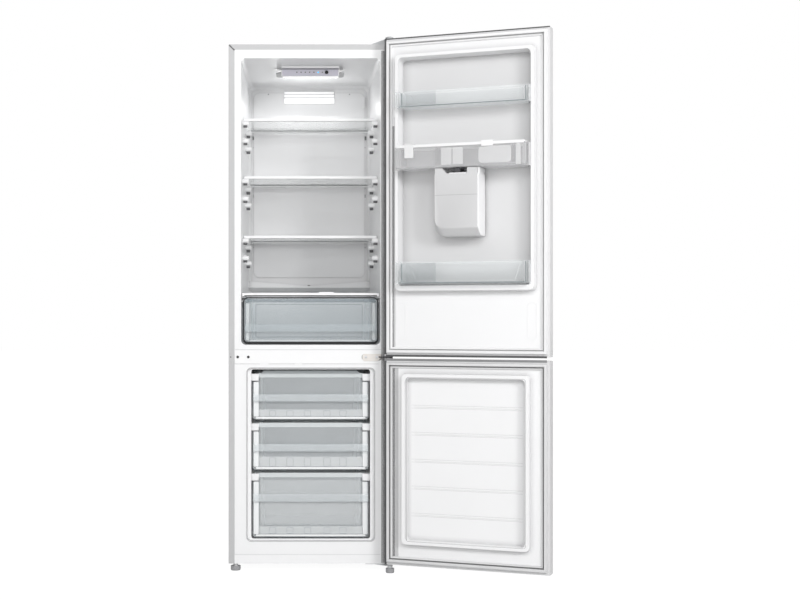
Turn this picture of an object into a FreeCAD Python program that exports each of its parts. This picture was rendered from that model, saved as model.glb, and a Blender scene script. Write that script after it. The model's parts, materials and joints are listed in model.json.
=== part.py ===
import FreeCAD, Part
import math
import os

# Bottom freezer refrigerator, free-standing, both doors hinged on the right and shown open.
#
# Millimetres. The origin is on the floor, at the centre of the right front foot's pad, which lies on the
# hinge line of both doors. +Z is up, +X points to the right and +Y goes from the front into the depth.
# Door pieces are built closed, with u measured from the hinge edge and w inwards from the door's inner
# face, and are then swung open about the hinge line.

Vector = FreeCAD.Vector

# ---- Cabinet ----
CABINET_WIDTH = 550.0
CABINET_DEPTH = 497.0
CABINET_BASE = 24.0
CABINET_TOP = 1762.0
SHEET = 0.8
SIDE_FLANGE = 20.0
TOP_FLANGE = 18.0
FLANGE_RETURN = 8.0
REAR_FLANGE = 12.0
CORNER_BEND = 3.0
LINER_WALL = 2.5
BASE_STRIP = 28.6
BEAM_HEIGHT = 45.2
BEAM_DEPTH = 22.0
BEAM_SHEET = 1.2

# ---- Compartments ----
FRIDGE_WIDTH = 466.4
FRIDGE_CEILING = 1715.7
FRIDGE_SILL = 17.4
FRIDGE_DEPTH = 430.0
FREEZER_WIDTH = 426.0
FREEZER_HEAD = 16.1
FREEZER_FLOOR = 99.5
FREEZER_DEPTH = 385.0
FREEZER_LOWER_DEPTH = 290.0
FREEZER_STEP = 312.0
OPENING_RADIUS = 16.0
FREEZER_RADIUS = 14.0
SIDE_DRAFT = 0.03
CEILING_DRAFT = 0.055
FLOOR_DRAFT = 0.012
BACK_ROUND = 14.0

# ---- Compressor niche ----
NICHE_HEIGHT = 216.0
NICHE_DEPTH = 165.0
NICHE_SLOPE = 70.0

# ---- Doors ----
DOOR_OPEN = 158.0
HINGE_INSET = 12.0
AXIS_TO_LINER = 21.0
DOOR_THICKNESS = 51.0
GASKET_HEIGHT = 12.0
GASKET_GAP = 0.5
HINGE_LEVEL = 715.4
DOOR_GAP = 11.8
UPPER_DOOR_RISE = 7.8
LOWER_DOOR_RISE = 6.6
DOOR_SHEET = 0.8
DOOR_FLANGE = 7.5
DOOR_EDGE_ROUND = 6.0
DOOR_LINER = 2.0
CAP_BAND = 9.0

# ---- Moulded door inside ----
DIKE_CLEARANCE = 1.2
UPPER_DIKE_HEIGHT = 30.0
UPPER_DIKE_WIDTH = 10.0
UPPER_DIKE_TOP = 1713.0
UPPER_DIKE_LEDGE = 932.0
UPPER_LEDGE_WIDTH = 15.0
LOWER_DIKE_HEIGHT = 20.0
LOWER_DIKE_WIDTH = 12.0
LOWER_DIKE_TOP = 665.0
LOWER_DIKE_FOOT = 101.0
DIKE_SLOPE = 0.13
PAN_DEPTH = 12.0
LOWER_PAN_DEPTH = 4.0
DIKE_RADIUS = 14.0

# ---- Hinges and feet ----
PIN_RADIUS = 4.0
PIN_CLEARANCE = 0.3
PIN_LENGTH = 18.0
BUSH_RADIUS = 8.0
BUSH_LENGTH = 24.0
COLLAR_GAP = 0.4
HINGE_PLATE = 3.0
ARM_PLATE = 4.0
ARM_RADIUS = 9.0
ARM_SIDES = 20
SCREW_HEAD = 4.6
SCREW_HEAD_HEIGHT = 2.2
SCREW_SHANK = 2.0
SCREW_LENGTH = 9.0
SCREW_SIDES = 12
RIGHT_FOOT_RADIUS = 14.3
LEFT_FOOT_RADIUS = 17.0
FOOT_HEIGHT = 15.0
FOOT_SIDES = 12
FOOT_STEM = 4.0
FOOT_NUT = 9.0
LEFT_FOOT_INSET = 23.4
LEFT_FOOT_BEHIND = 17.0
ROLLER_RADIUS = 15.0
ROLLER_WIDTH = 14.0
ROLLER_SIDES = 32
ROLLER_INSET = 34.0
ROLLER_BEHIND = 40.0
AXLE_RADIUS = 3.0

# ---- Shelves ----
SHELF_LEVELS = (1526.0, 1328.6, 1125.2)
SHELF_NAMES = ("upper", "middle", "lower")
SHELF_SETBACK = 96.0
SHELF_DEPTH = 305.0
SHELF_SIDE_GAP = 3.5
GLASS = 4.0
SHELF_TRIM = 9.0
SHELF_TRIM_DEPTH = 14.0
REAR_TRIM_HEIGHT = 16.0
REST_STEP = 58.0
REST_REACH = 9.0
REST_LENGTH = 26.0
FRONT_REST = 30.0
REAR_REST = 40.0
REST_HEIGHT = 17.0
SLIDE_GAP = 0.4

# ---- Crisper ----
CRISPER_WIDTH = 455.0
CRISPER_FOOT = 757.4
CRISPER_TOP = 911.0
CRISPER_FRONT_TOP = 916.0
CRISPER_BACK = 345.0
CRISPER_FRONT = 15.0
OUTLINE_WIDTH = 4.6
COVER_TOP = 929.7
COVER_TRIM = 11.1
COVER_TAB = 3.6
COVER_DEPTH = 372.0
LIP_REACH = 13.0
LIP_HEIGHT = 25.0
CRISPER_LIP_TOP = 824.0
DRAWER_WALL = 2.4
DRAWER_RADIUS = 12.0

# ---- Freezer drawers ----
DRAWER_WIDTH = 391.0
DRAWER_FRONT = 31.0
DRAWER_NAMES = ("upper", "middle", "lower")
DRAWER_TOPS = (661.0, 493.6, 324.9)
DRAWER_FEET = (504.0, 334.9, 108.0)
DRAWER_LIP_DROP = 72.0
TUB_INSET = 26.0
NOTCH_HEIGHT = 29.0
RAIL_HEIGHT = 13.0
DRAWER_REAR_GAP = 12.0

# ---- Door bins, water tank and dispenser ----
BIN_SIDE_GAP = 3.0
BIN_FRONT = 58.0
BIN_EAR = 9.0
BIN_WALL = 2.4
BIN_CORNER = 12.0
UPPER_BIN_FOOT = 1529.8
UPPER_BIN_TOP = 1582.0
LOWER_BIN_TOP = 1028.0
TANK_FRONT = 78.0
TANK_FOOT = 1328.0
TANK_TOP = 1400.0
TANK_LID = 5.0
HOUSING_LEFT = 186.0
HOUSING_RIGHT = 340.0
HOUSING_TAPER = 12.0
HOUSING_FRONT = 72.0
HOUSING_TOP = 1312.0
HOUSING_CREASE = 1203.6
HOUSING_CHAMFER = 1133.5
HOUSING_FOOT = 1108.0
HOUSING_WALL = 2.5
NICHE_WALL = 2.0
VALVE_RADIUS = 14.0
SPOUT_RADIUS = 7.0
SPOUT_CLEARANCE = 3.0

# ---- Places worked out from the driving dimensions ----
RIGHT = HINGE_INSET
LEFT = RIGHT - CABINET_WIDTH
MIDDLE = (LEFT + RIGHT) / 2
FRONT = AXIS_TO_LINER + GASKET_HEIGHT
BACK = FRONT + CABINET_DEPTH
BEAM_TOP = HINGE_LEVEL + 0.52 * BEAM_HEIGHT
BEAM_BOTTOM = BEAM_TOP - BEAM_HEIGHT
FRIDGE_FLOOR = BEAM_TOP + FRIDGE_SILL
FREEZER_CEILING = BEAM_BOTTOM - FREEZER_HEAD
STRIP_TOP = CABINET_BASE + BASE_STRIP
NICHE_TOP = CABINET_BASE + NICHE_HEIGHT
NICHE_FRONT = BACK - NICHE_DEPTH
PANEL_FRONT = BACK - 2 * SHEET
UPPER_DOOR = (HINGE_LEVEL + DOOR_GAP / 2, CABINET_TOP + UPPER_DOOR_RISE)
LOWER_DOOR = (CABINET_BASE + LOWER_DOOR_RISE, HINGE_LEVEL - DOOR_GAP / 2)
SHELF_FRONT = FRONT + SHELF_SETBACK
SHELF_BACK = SHELF_FRONT + SHELF_DEPTH
FRIDGE_BACK = FRONT + FRIDGE_DEPTH
COVER_GLASS_TOP = COVER_TOP - 3.5
ARM_TOP = HINGE_LEVEL + ARM_PLATE / 2
ARM_BOTTOM = HINGE_LEVEL - ARM_PLATE / 2


# ---------------------------------------------------------------- shapes used throughout

def block(x0, x1, y0, y1, z0, z1):
    """A box between two corners."""
    return Part.makeBox(x1 - x0, y1 - y0, z1 - z0, Vector(x0, y0, z0))


def rod(radius, x, y, z0, z1):
    """An upright cylinder."""
    return Part.makeCylinder(radius, z1 - z0, Vector(x, y, z0))


def cross_rod(radius, y, z, x0, x1):
    """A cylinder that lies across the cabinet."""
    return Part.makeCylinder(radius, x1 - x0, Vector(x0, y, z), Vector(1, 0, 0))


def upright_outline(x0, x1, z0, z1, radius, y):
    """A rounded rectangle that stands in the plane at depth y."""
    r = radius
    k = r * (1 - math.sqrt(0.5))
    corners = [
        (Vector(x1 - r, y, z0), Vector(x1 - k, y, z0 + k), Vector(x1, y, z0 + r)),
        (Vector(x1, y, z1 - r), Vector(x1 - k, y, z1 - k), Vector(x1 - r, y, z1)),
        (Vector(x0 + r, y, z1), Vector(x0 + k, y, z1 - k), Vector(x0, y, z1 - r)),
        (Vector(x0, y, z0 + r), Vector(x0 + k, y, z0 + k), Vector(x0 + r, y, z0)),
    ]
    edges = []
    for i, (start, middle, end) in enumerate(corners):
        edges.append(Part.Arc(start, middle, end).toShape())
        edges.append(Part.LineSegment(end, corners[(i + 1) % 4][0]).toShape())
    return Part.Wire(edges)


def upright_plate(x0, x1, z0, z1, radius, y0, y1):
    """A plate with rounded corners that stands between the depths y0 and y1."""
    face = Part.Face(upright_outline(x0, x1, z0, z1, radius, y0))
    return face.extrude(Vector(0, y1 - y0, 0))


def flat_outline(x0, x1, y0, y1, radius, z):
    """A rounded rectangle that lies at height z."""
    upright = upright_outline(x0, x1, y0, y1, radius, 0)
    upright.rotate(Vector(0, 0, 0), Vector(1, 0, 0), 90)
    upright.mirror(Vector(0, 0, 0), Vector(0, 1, 0))
    lying = upright.mirror(Vector(0, 0, 0), Vector(0, 1, 0))
    lying.translate(Vector(0, 0, z))
    return lying


def profile_x(points, x0, x1):
    """A prism across the cabinet, from a side profile of (y, z) points."""
    wire = Part.makePolygon([Vector(x0, y, z) for y, z in points + points[:1]])
    return Part.Face(wire).extrude(Vector(x1 - x0, 0, 0))


def profile_y(points, y0, y1):
    """A prism into the depth, from a front profile of (x, z) points."""
    wire = Part.makePolygon([Vector(x, y0, z) for x, z in points + points[:1]])
    return Part.Face(wire).extrude(Vector(0, y1 - y0, 0))


def profile_z(points, z0, z1):
    """An upright prism, from a plan of (x, y) points."""
    wire = Part.makePolygon([Vector(x, y, z0) for x, y in points + points[:1]])
    return Part.Face(wire).extrude(Vector(0, 0, z1 - z0))


def joined(shapes):
    """Several solids fused into one, with the seams between flush faces removed."""
    return shapes[0].fuse(shapes[1:]).removeSplitter()


def ring_of_sides(centre, direction, radius, sides):
    """A closed outline with equal sides, square to a direction."""
    reference = Vector(0, 0, 1) if abs(direction.z) < 0.9 else Vector(1, 0, 0)
    across = direction.cross(reference).normalize()
    up = direction.cross(across)
    rim = []
    for i in range(sides + 1):
        angle = math.radians(360 / sides * (i + 0.5))
        rim.append(centre + across * (radius * math.cos(angle)) + up * (radius * math.sin(angle)))
    return Part.makePolygon(rim)


def sided_bar(radius, start, end, sides):
    """A straight bar with flat sides between two points."""
    first = Vector(*start)
    span = Vector(*end) - first
    ring = ring_of_sides(first, (Vector(*end) - first).normalize(), radius, sides)
    return Part.Face(ring).extrude(span)


def skinned(outlines):
    """A solid through outlines that match edge for edge: flat faces between lines, ruled ones between arcs."""
    faces = [Part.Face(outlines[0]), Part.Face(outlines[-1])]
    for lower, upper in zip(outlines, outlines[1:]):
        for one, two in zip(lower.OrderedEdges, upper.OrderedEdges):
            if one.Curve.TypeId == "Part::GeomLine":
                a, b = one.valueAt(one.FirstParameter), one.valueAt(one.LastParameter)
                c, d = two.valueAt(two.FirstParameter), two.valueAt(two.LastParameter)
                if (a - c).Length + (b - d).Length > (a - d).Length + (b - c).Length:
                    c, d = d, c
                faces.append(Part.Face(Part.makePolygon([a, b, d, c, a])))
            else:
                faces.append(Part.makeRuledSurface(one, two))
    shell = Part.makeShell(faces)
    shell.sewShape()
    solid = Part.Solid(shell)
    if solid.Volume < 0:
        solid.reverse()
    return solid


def tube_run(points, radius, sides=8):
    """A slim tube through the given points, mitred where it turns."""
    corners = [Vector(*p) for p in points]
    runs = [(b - a).normalize() for a, b in zip(corners, corners[1:])]
    rim = [v.Point for v in ring_of_sides(corners[0], runs[0], radius, sides).OrderedVertexes]
    rings = [rim]
    for i, run in enumerate(runs):
        plane = run if i == len(runs) - 1 else run + runs[i + 1]
        rim = [v + run * ((corners[i + 1] - v).dot(plane) / run.dot(plane)) for v in rim]
        rings.append(rim)
    return skinned([Part.makePolygon(ring + ring[:1]) for ring in rings])


def square_pin(x, y, z, axis, start, end, half):
    """A square bar round the point (x, y, z) that runs from start to end along one axis."""
    low = [x - half, y - half, z - half]
    high = [x + half, y + half, z + half]
    low[axis], high[axis] = sorted((start, end))
    return block(low[0], high[0], low[1], high[1], low[2], high[2])


def screw_down(x, y, z):
    """A pan-head screw driven downwards, its head resting at height z."""
    head = sided_bar(SCREW_HEAD, (x, y, z), (x, y, z + SCREW_HEAD_HEIGHT), SCREW_SIDES)
    return head.fuse(square_pin(x, y, z, 2, z - SCREW_LENGTH, z, SCREW_SHANK))


def screw_in(x, z, y):
    """A pan-head screw driven into the face, its head resting at depth y."""
    head = sided_bar(SCREW_HEAD, (x, y, z), (x, y - SCREW_HEAD_HEIGHT, z), SCREW_SIDES)
    return head.fuse(square_pin(x, y, z, 1, y, y + SCREW_LENGTH, SCREW_SHANK))


def ribbed_knob(sides, radius, x, y, z0, z1):
    """An upright prism with equal flat sides."""
    points = []
    for i in range(sides):
        angle = math.radians(360 / sides * (i + 0.5))
        points.append((x + radius * math.cos(angle), y + radius * math.sin(angle)))
    return profile_z(points, z0, z1)


# ---------------------------------------------------------------- cabinet

def cavity(width, floor, ceiling, depth, radius, ceiling_draft, grow=0.0):
    """The space inside a compartment, narrowing towards the back. grow adds the liner's wall."""
    wires = []
    for into, inwards in ((0.0, 0.0), (depth - BACK_ROUND, 0.0), (depth, 0.7 * BACK_ROUND)):
        half = width / 2 - SIDE_DRAFT * into - inwards + grow
        low = floor + FLOOR_DRAFT * into + inwards - grow
        high = ceiling - ceiling_draft * into - inwards + grow
        y = FRONT + into + (grow if into else 0.0)
        wires.append(upright_outline(MIDDLE - half, MIDDLE + half, low, high, radius + grow, y))
    return skinned(wires)


def fridge_space(grow=0.0):
    return cavity(FRIDGE_WIDTH, FRIDGE_FLOOR, FRIDGE_CEILING, FRIDGE_DEPTH, OPENING_RADIUS, CEILING_DRAFT, grow)


def freezer_space(grow=0.0):
    """Two depths: the lower drawer stops in front of the compressor niche."""
    space = cavity(FREEZER_WIDTH, FREEZER_FLOOR, FREEZER_CEILING, FREEZER_DEPTH, FREEZER_RADIUS, 0.0, grow)
    back = FRONT + FREEZER_LOWER_DEPTH + grow
    top = FREEZER_STEP - grow
    step = profile_x([(back, CABINET_BASE), (back, top - BACK_ROUND), (back + BACK_ROUND, top), (BACK, top),
                      (BACK, CABINET_BASE)], LEFT, RIGHT)
    return space.cut(step)


def wall_at(width, y):
    """Half the compartment's width at depth y."""
    return width / 2 - SIDE_DRAFT * (y - FRONT)


def outer_shell():
    """Two sides and the top, bent from one sheet, with a flange turned in all round the front."""
    outside = block(LEFT, RIGHT, FRONT, BACK, CABINET_BASE, CABINET_TOP)
    inside = block(LEFT + SHEET, RIGHT - SHEET, FRONT + SHEET, BACK - SHEET,
                   CABINET_BASE - 1, CABINET_TOP - SHEET)
    for shape, radius in ((outside, CORNER_BEND), (inside, CORNER_BEND - SHEET)):
        long_edges = [e for e in shape.Edges
                      if abs(e.Vertexes[0].Y - e.Vertexes[1].Y) > 100 and e.Vertexes[0].Z > BEAM_TOP]
        rounded = shape.makeFillet(radius, long_edges)
        if shape is outside:
            outside = rounded
        else:
            inside = rounded
    mouth = block(LEFT + SIDE_FLANGE, RIGHT - SIDE_FLANGE, FRONT - 1, FRONT + 2 * SHEET,
                  CABINET_BASE - 1, CABINET_TOP - TOP_FLANGE)
    rear = block(LEFT + REAR_FLANGE, RIGHT - REAR_FLANGE, BACK - 2 * SHEET, BACK + 1,
                 CABINET_BASE - 1, CABINET_TOP - REAR_FLANGE)
    shell = outside.cut([inside, mouth, rear])
    returns = []
    for edge in (LEFT + SIDE_FLANGE - SHEET, RIGHT - SIDE_FLANGE):
        returns.append(block(edge, edge + SHEET, FRONT, FRONT + FLANGE_RETURN,
                             CABINET_BASE, CABINET_TOP - TOP_FLANGE))
    returns.append(block(LEFT + SIDE_FLANGE - SHEET, RIGHT - SIDE_FLANGE + SHEET, FRONT,
                         FRONT + FLANGE_RETURN, CABINET_TOP - TOP_FLANGE, CABINET_TOP - TOP_FLANGE + SHEET))
    shell = joined([shell] + returns)
    for corner, lean in ((LEFT, -1), (RIGHT, 1)):
        slit = block(-0.3, 0.3, FRONT - 1, FRONT + SHEET, -SIDE_FLANGE * 1.3, -4)
        slit.rotate(Vector(0, 0, 0), Vector(0, 1, 0), 45 * -lean)
        slit.translate(Vector(corner, 0, CABINET_TOP))
        slit = slit.common(block(LEFT + 2, RIGHT - 2, FRONT - 1, FRONT + SHEET,
                                 CABINET_TOP - TOP_FLANGE + SHEET, CABINET_TOP - 2))
        shell = shell.cut(slit)
    return shell.cut([square_pin(x, y, CABINET_TOP, 2, CABINET_TOP - 2, CABINET_TOP + 1, SCREW_SHANK)
                      for x, y in top_hinge_screw_places()])


def back_panel():
    return block(LEFT + SHEET, RIGHT - SHEET, PANEL_FRONT, PANEL_FRONT + SHEET,
                 NICHE_TOP + SHEET, CABINET_TOP - CORNER_BEND)


def niche_profile(grow=0.0):
    """The side profile of the compressor niche, moved out by a sheet's thickness where asked."""
    top = NICHE_TOP + grow
    front = NICHE_FRONT - grow
    return [(front, CABINET_BASE), (front, NICHE_TOP - NICHE_SLOPE + grow), (front + NICHE_SLOPE, top),
            (BACK + 1, top), (BACK + 1, CABINET_BASE)]


def niche_block(grow=0.0):
    return profile_x(niche_profile(grow), LEFT + SHEET, RIGHT - SHEET)


def base_pan(shell):
    """Front strip, floor sheet and the folded roof of the compressor niche, in one piece."""
    strip = block(LEFT + SIDE_FLANGE, RIGHT - SIDE_FLANGE, FRONT, FRONT + SHEET, CABINET_BASE, STRIP_TOP)
    floor = block(LEFT + SHEET, RIGHT - SHEET, FRONT + SHEET, NICHE_FRONT, CABINET_BASE, CABINET_BASE + SHEET)
    inside = block(LEFT, RIGHT, FRONT, PANEL_FRONT, CABINET_BASE, NICHE_TOP + SHEET)
    roof = niche_block(SHEET).cut(niche_block()).common(inside)
    nut_x, nut_y = left_foot_centre()
    nut = ribbed_knob(6, FOOT_NUT, nut_x, nut_y, FOOT_HEIGHT - 7, CABINET_BASE)
    bore = rod(FOOT_STEM + PIN_CLEARANCE, nut_x, nut_y, FOOT_HEIGHT - 8, CABINET_BASE - 1)
    pan = joined([strip, floor, roof]).cut([shell, rod(DRAIN_RADIUS, MIDDLE, DRAIN_Y, NICHE_TOP - 1, NICHE_TOP + 2)])
    return joined([pan, nut.cut(bore)])


def mid_beam():
    """The pressed cross rail between the compartments, drilled for the hinge on either side."""
    x0 = LEFT + SIDE_FLANGE
    x1 = RIGHT - SIDE_FLANGE
    channel = block(x0, x1, FRONT, FRONT + BEAM_DEPTH, BEAM_BOTTOM, BEAM_TOP)
    channel = channel.cut(block(x0 - 1, x1 + 1, FRONT + BEAM_SHEET, FRONT + BEAM_DEPTH + 1,
                                BEAM_BOTTOM + BEAM_SHEET, BEAM_TOP - BEAM_SHEET))
    holes = [square_pin(x, FRONT, HINGE_LEVEL, 1, FRONT - 1, FRONT + 2 * BEAM_SHEET, SCREW_SHANK)
             for x in hinge_screw_places()]
    holes += [sided_bar(SPARE_HOLE, (x, FRONT - 1, HINGE_LEVEL), (x, FRONT + 2 * BEAM_SHEET, HINGE_LEVEL), 8)
              for x in spare_hole_places()]
    return channel.cut(holes)


def hinge_screw_places():
    return [RIGHT - 90.0, RIGHT - 54.0]


SPARE_HOLE = 2.5


def spare_hole_places():
    return [LEFT + 30.6, LEFT + 66.1]


def flange_plate(z0, z1):
    return block(LEFT + SIDE_FLANGE, RIGHT - SIDE_FLANGE, FRONT, FRONT + LINER_WALL, z0, z1)


def shelf_rest(side, y, top):
    """A moulded nub on a side wall that a shelf sits on: flat above, rounded off below."""
    wall = wall_at(FRIDGE_WIDTH, y)
    reach = wall - REST_REACH
    deep = wall + 2 * LINER_WALL
    front = MIDDLE + side * reach
    points = [(MIDDLE + side * deep, top), (front, top), (front, top - 0.5 * REST_HEIGHT),
              (MIDDLE + side * deep, top - REST_HEIGHT)]
    return profile_y(points, y - REST_LENGTH / 2, y + REST_LENGTH / 2)


def side_rail(width, side, inner, y0, y1, z0, z1):
    """A ledge along a side wall, from the wall to its inner edge."""
    outer = wall_at(width, y0) + 2 * LINER_WALL
    edges = sorted((MIDDLE + side * inner, MIDDLE + side * outer))
    return block(edges[0], edges[1], y0, y1, z0, z1)


GUTTER_REACH = 24.0
GUTTER_SIDE = 980.0
GUTTER_MIDDLE = 962.0
GUTTER_FOOT = 942.0
GUTTER_LIP = 3.0
GUTTER_DEPTH = 8.0
DRAIN_RADIUS = 8.0
DRAIN_BORE = 6.0
DRAIN_SIDES = 12


def gutter():
    """The V-shaped channel at the foot of the back wall that leads water to the drain hole."""
    half = wall_at(FRIDGE_WIDTH, FRIDGE_BACK) + 2 * LINER_WALL
    y0 = FRIDGE_BACK - GUTTER_REACH
    y1 = FRIDGE_BACK + LINER_WALL
    body = profile_y([(MIDDLE - half, GUTTER_SIDE), (MIDDLE, GUTTER_MIDDLE), (MIDDLE + half, GUTTER_SIDE),
                      (MIDDLE + half, GUTTER_FOOT), (MIDDLE - half, GUTTER_FOOT)], y0, y1)
    under = profile_x([(y0 - 1, GUTTER_FOOT - 1), (y0 - 1, GUTTER_MIDDLE - 6), (y0, GUTTER_MIDDLE - 6),
                       (FRIDGE_BACK - 5, GUTTER_FOOT), (FRIDGE_BACK - 5, GUTTER_FOOT - 1)],
                      MIDDLE - half - 1, MIDDLE + half + 1)
    drop = GUTTER_DEPTH
    run = half - 14
    channel = profile_y([(MIDDLE - run, GUTTER_SIDE + 9), (MIDDLE + run, GUTTER_SIDE + 9),
                         (MIDDLE + run, GUTTER_SIDE - drop), (MIDDLE, GUTTER_MIDDLE - drop),
                         (MIDDLE - run, GUTTER_SIDE - drop)], y0 + GUTTER_LIP, FRIDGE_BACK - 2)
    return body.cut([under, channel])


def drain_hole(radius):
    """The way from the gutter through the back wall."""
    level = GUTTER_MIDDLE - GUTTER_DEPTH + DRAIN_BORE
    return sided_bar(radius, (MIDDLE, FRIDGE_BACK - GUTTER_REACH + GUTTER_LIP + 3, level),
                     (MIDDLE, FRIDGE_BACK + 2 * LINER_WALL, level), DRAIN_SIDES)


def fridge_liner():
    inside = fridge_space()
    outside = fridge_space(LINER_WALL)
    flange = flange_plate(BEAM_TOP, CABINET_TOP - TOP_FLANGE)
    liner = joined([flange, outside]).cut(inside)
    details = []
    for level in SHELF_LEVELS:
        for step in (0, 1):
            top = level - GLASS - SLIDE_GAP - step * REST_STEP
            for y in (SHELF_FRONT + FRONT_REST, SHELF_BACK - REAR_REST):
                for side in (-1, 1):
                    details.append(shelf_rest(side, y, top))
    for side in (-1, 1):
        rail_inner = CRISPER_WIDTH / 2 - 14
        details.append(side_rail(FRIDGE_WIDTH, side, rail_inner, FRONT + 30, FRIDGE_BACK - 40,
                                 CRISPER_TOP - DRAWER_WALL - SLIDE_GAP - 9, CRISPER_TOP - DRAWER_WALL - SLIDE_GAP))
        details.append(side_rail(FRIDGE_WIDTH, side, rail_inner, FRONT + 24, FRIDGE_BACK - 40,
                                 CRISPER_TOP + 2, COVER_GLASS_TOP - GLASS))
    details.append(gutter())
    half = wall_at(FRIDGE_WIDTH, FRIDGE_BACK) - 18
    details.append(upright_plate(MIDDLE - half, MIDDLE + half, GUTTER_SIDE + 14, FRIDGE_CEILING - 48, 22,
                                 FRIDGE_BACK - 3, FRIDGE_BACK + LINER_WALL))
    for detail in details:
        liner = liner.fuse(detail.common(outside))
    liner = liner.cut(drain_hole(DRAIN_BORE))
    return liner.removeSplitter()


def drawer_depth(index):
    """How far back a freezer drawer reaches: the lower one stops in front of the niche."""
    space = FREEZER_LOWER_DEPTH if index == len(DRAWER_NAMES) - 1 else FREEZER_DEPTH
    return FRONT + space - DRAWER_REAR_GAP


def freezer_liner():
    inside = freezer_space()
    outside = freezer_space(LINER_WALL)
    flange = flange_plate(STRIP_TOP, BEAM_BOTTOM)
    liner = joined([flange, outside]).cut(inside)
    inner = DRAWER_WIDTH / 2 - TUB_INSET + 5
    for index, top in enumerate(DRAWER_TOPS):
        rail_top = top - DRAWER_WALL - SLIDE_GAP
        for side in (-1, 1):
            rail = side_rail(FREEZER_WIDTH, side, inner, FRONT + 40, drawer_depth(index) - 10,
                             rail_top - RAIL_HEIGHT, rail_top)
            nose = side_rail(FREEZER_WIDTH, side, inner, FRONT + DRAWER_FRONT - 8, FRONT + 52,
                             top - NOTCH_HEIGHT + 3, rail_top)
            for detail in (rail, nose):
                liner = liner.fuse(detail.common(outside))
    return liner.removeSplitter()


EVAPORATOR_PLATE = 1.6
EVAPORATOR_CHANNEL = 3.0


def evaporator_plates():
    """Two aluminium plates pressed with a winding channel, foamed in behind the liners' back walls."""
    plates = []
    places = ((FRONT + FRIDGE_DEPTH + LINER_WALL, GUTTER_SIDE + 60, FRIDGE_CEILING - 130),
              (FRONT + FREEZER_DEPTH + LINER_WALL, FREEZER_STEP + 40, FREEZER_CEILING - 60))
    for y, low, high in places:
        half = 170.0
        plate = block(MIDDLE - half, MIDDLE + half, y, y + EVAPORATOR_PLATE, low, high)
        runs = max(2, int((high - low) // 90))
        pitch = (high - low - 40) / runs
        ridges = []
        for i in range(runs + 1):
            z = low + 20 + i * pitch
            ridges.append(block(MIDDLE - half + 14, MIDDLE + half - 14, y + EVAPORATOR_PLATE,
                                y + EVAPORATOR_PLATE + EVAPORATOR_CHANNEL, z - 4, z + 4))
            if i < runs:
                end = MIDDLE + (half - 14) * (-1) ** i
                x0, x1 = sorted((end, end - 8 * (-1) ** i))
                ridges.append(block(x0, x1, y + EVAPORATOR_PLATE, y + EVAPORATOR_PLATE + EVAPORATOR_CHANNEL,
                                    z, z + pitch))
        plates.append(joined([plate] + ridges))
    return Part.makeCompound(plates)


def evaporator_pockets():
    """The room that the evaporator plates take in the foam."""
    pockets = []
    for plate in evaporator_plates().Solids:
        b = plate.BoundBox
        pockets.append(block(b.XMin, b.XMax, b.YMin, b.YMax, b.ZMin, b.ZMax))
    return pockets


DRAIN_Y = FRIDGE_BACK + 22.0


def drain_route(start=0.0, end=0.0):
    """From the gutter's hole back, then straight down behind the freezer to the evaporation tray."""
    top = GUTTER_MIDDLE - GUTTER_DEPTH + DRAIN_BORE
    return [(MIDDLE, FRIDGE_BACK + 2 * LINER_WALL - start, top), (MIDDLE, DRAIN_Y, top),
            (MIDDLE, DRAIN_Y, NICHE_TOP - 5 - end)]


def drain_tube():
    outside = tube_run(drain_route(), DRAIN_RADIUS, DRAIN_SIDES)
    return outside.cut(tube_run(drain_route(1.0, 1.0), DRAIN_BORE - 0.5, DRAIN_SIDES))


def hinge_nut_pocket():
    """The room under the roof for the nuts that the top hinge's screws turn in."""
    places = top_hinge_screw_places()
    xs = [x for x, y in places]
    ys = [y for x, y in places]
    margin = 2 * SCREW_HEAD
    return block(min(xs) - margin, max(xs) + margin, min(ys) - margin, max(ys) + margin,
                 CABINET_TOP - SCREW_LENGTH, CABINET_TOP)


def insulation_foam(shell, pan):
    """Everything between the shell and the liners."""
    foam = block(LEFT + SHEET, RIGHT - SHEET, FRONT + SHEET, PANEL_FRONT, CABINET_BASE + SHEET,
                 CABINET_TOP - SHEET)
    beam = block(LEFT + SIDE_FLANGE, RIGHT - SIDE_FLANGE, FRONT, FRONT + BEAM_DEPTH, BEAM_BOTTOM, BEAM_TOP)
    cuts = [fridge_space(LINER_WALL), freezer_space(LINER_WALL), beam, niche_block(SHEET),
            flange_plate(BEAM_TOP, CABINET_TOP), flange_plate(CABINET_BASE, BEAM_BOTTOM),
            tube_run(drain_route(), DRAIN_RADIUS, DRAIN_SIDES), drain_hole(DRAIN_BORE), hinge_nut_pocket()]
    foam = foam.cut(cuts + evaporator_pockets())
    foam = foam.cut([shell, pan])
    return max(foam.Solids, key=lambda s: s.Volume)


# ---------------------------------------------------------------- machinery in the niche

COMPRESSOR_RADIUS = 66.0
COMPRESSOR_SIDES = 28
COMPRESSOR_X = MIDDLE + 30.0
COMPRESSOR_Y = BACK - 78.0
CARRIER_LEVEL = 36.0
CARRIER_SHEET = 2.0
MOUNT_SPREAD = (78.0, 50.0)
MOUNT_HEIGHT = 12.0
FOOT_PLATE = 3.0
POT_HEIGHT = 140.0
TRAY_DEPTH = 26.0


def roller_places():
    return [LEFT + ROLLER_INSET, RIGHT - ROLLER_INSET]


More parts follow.
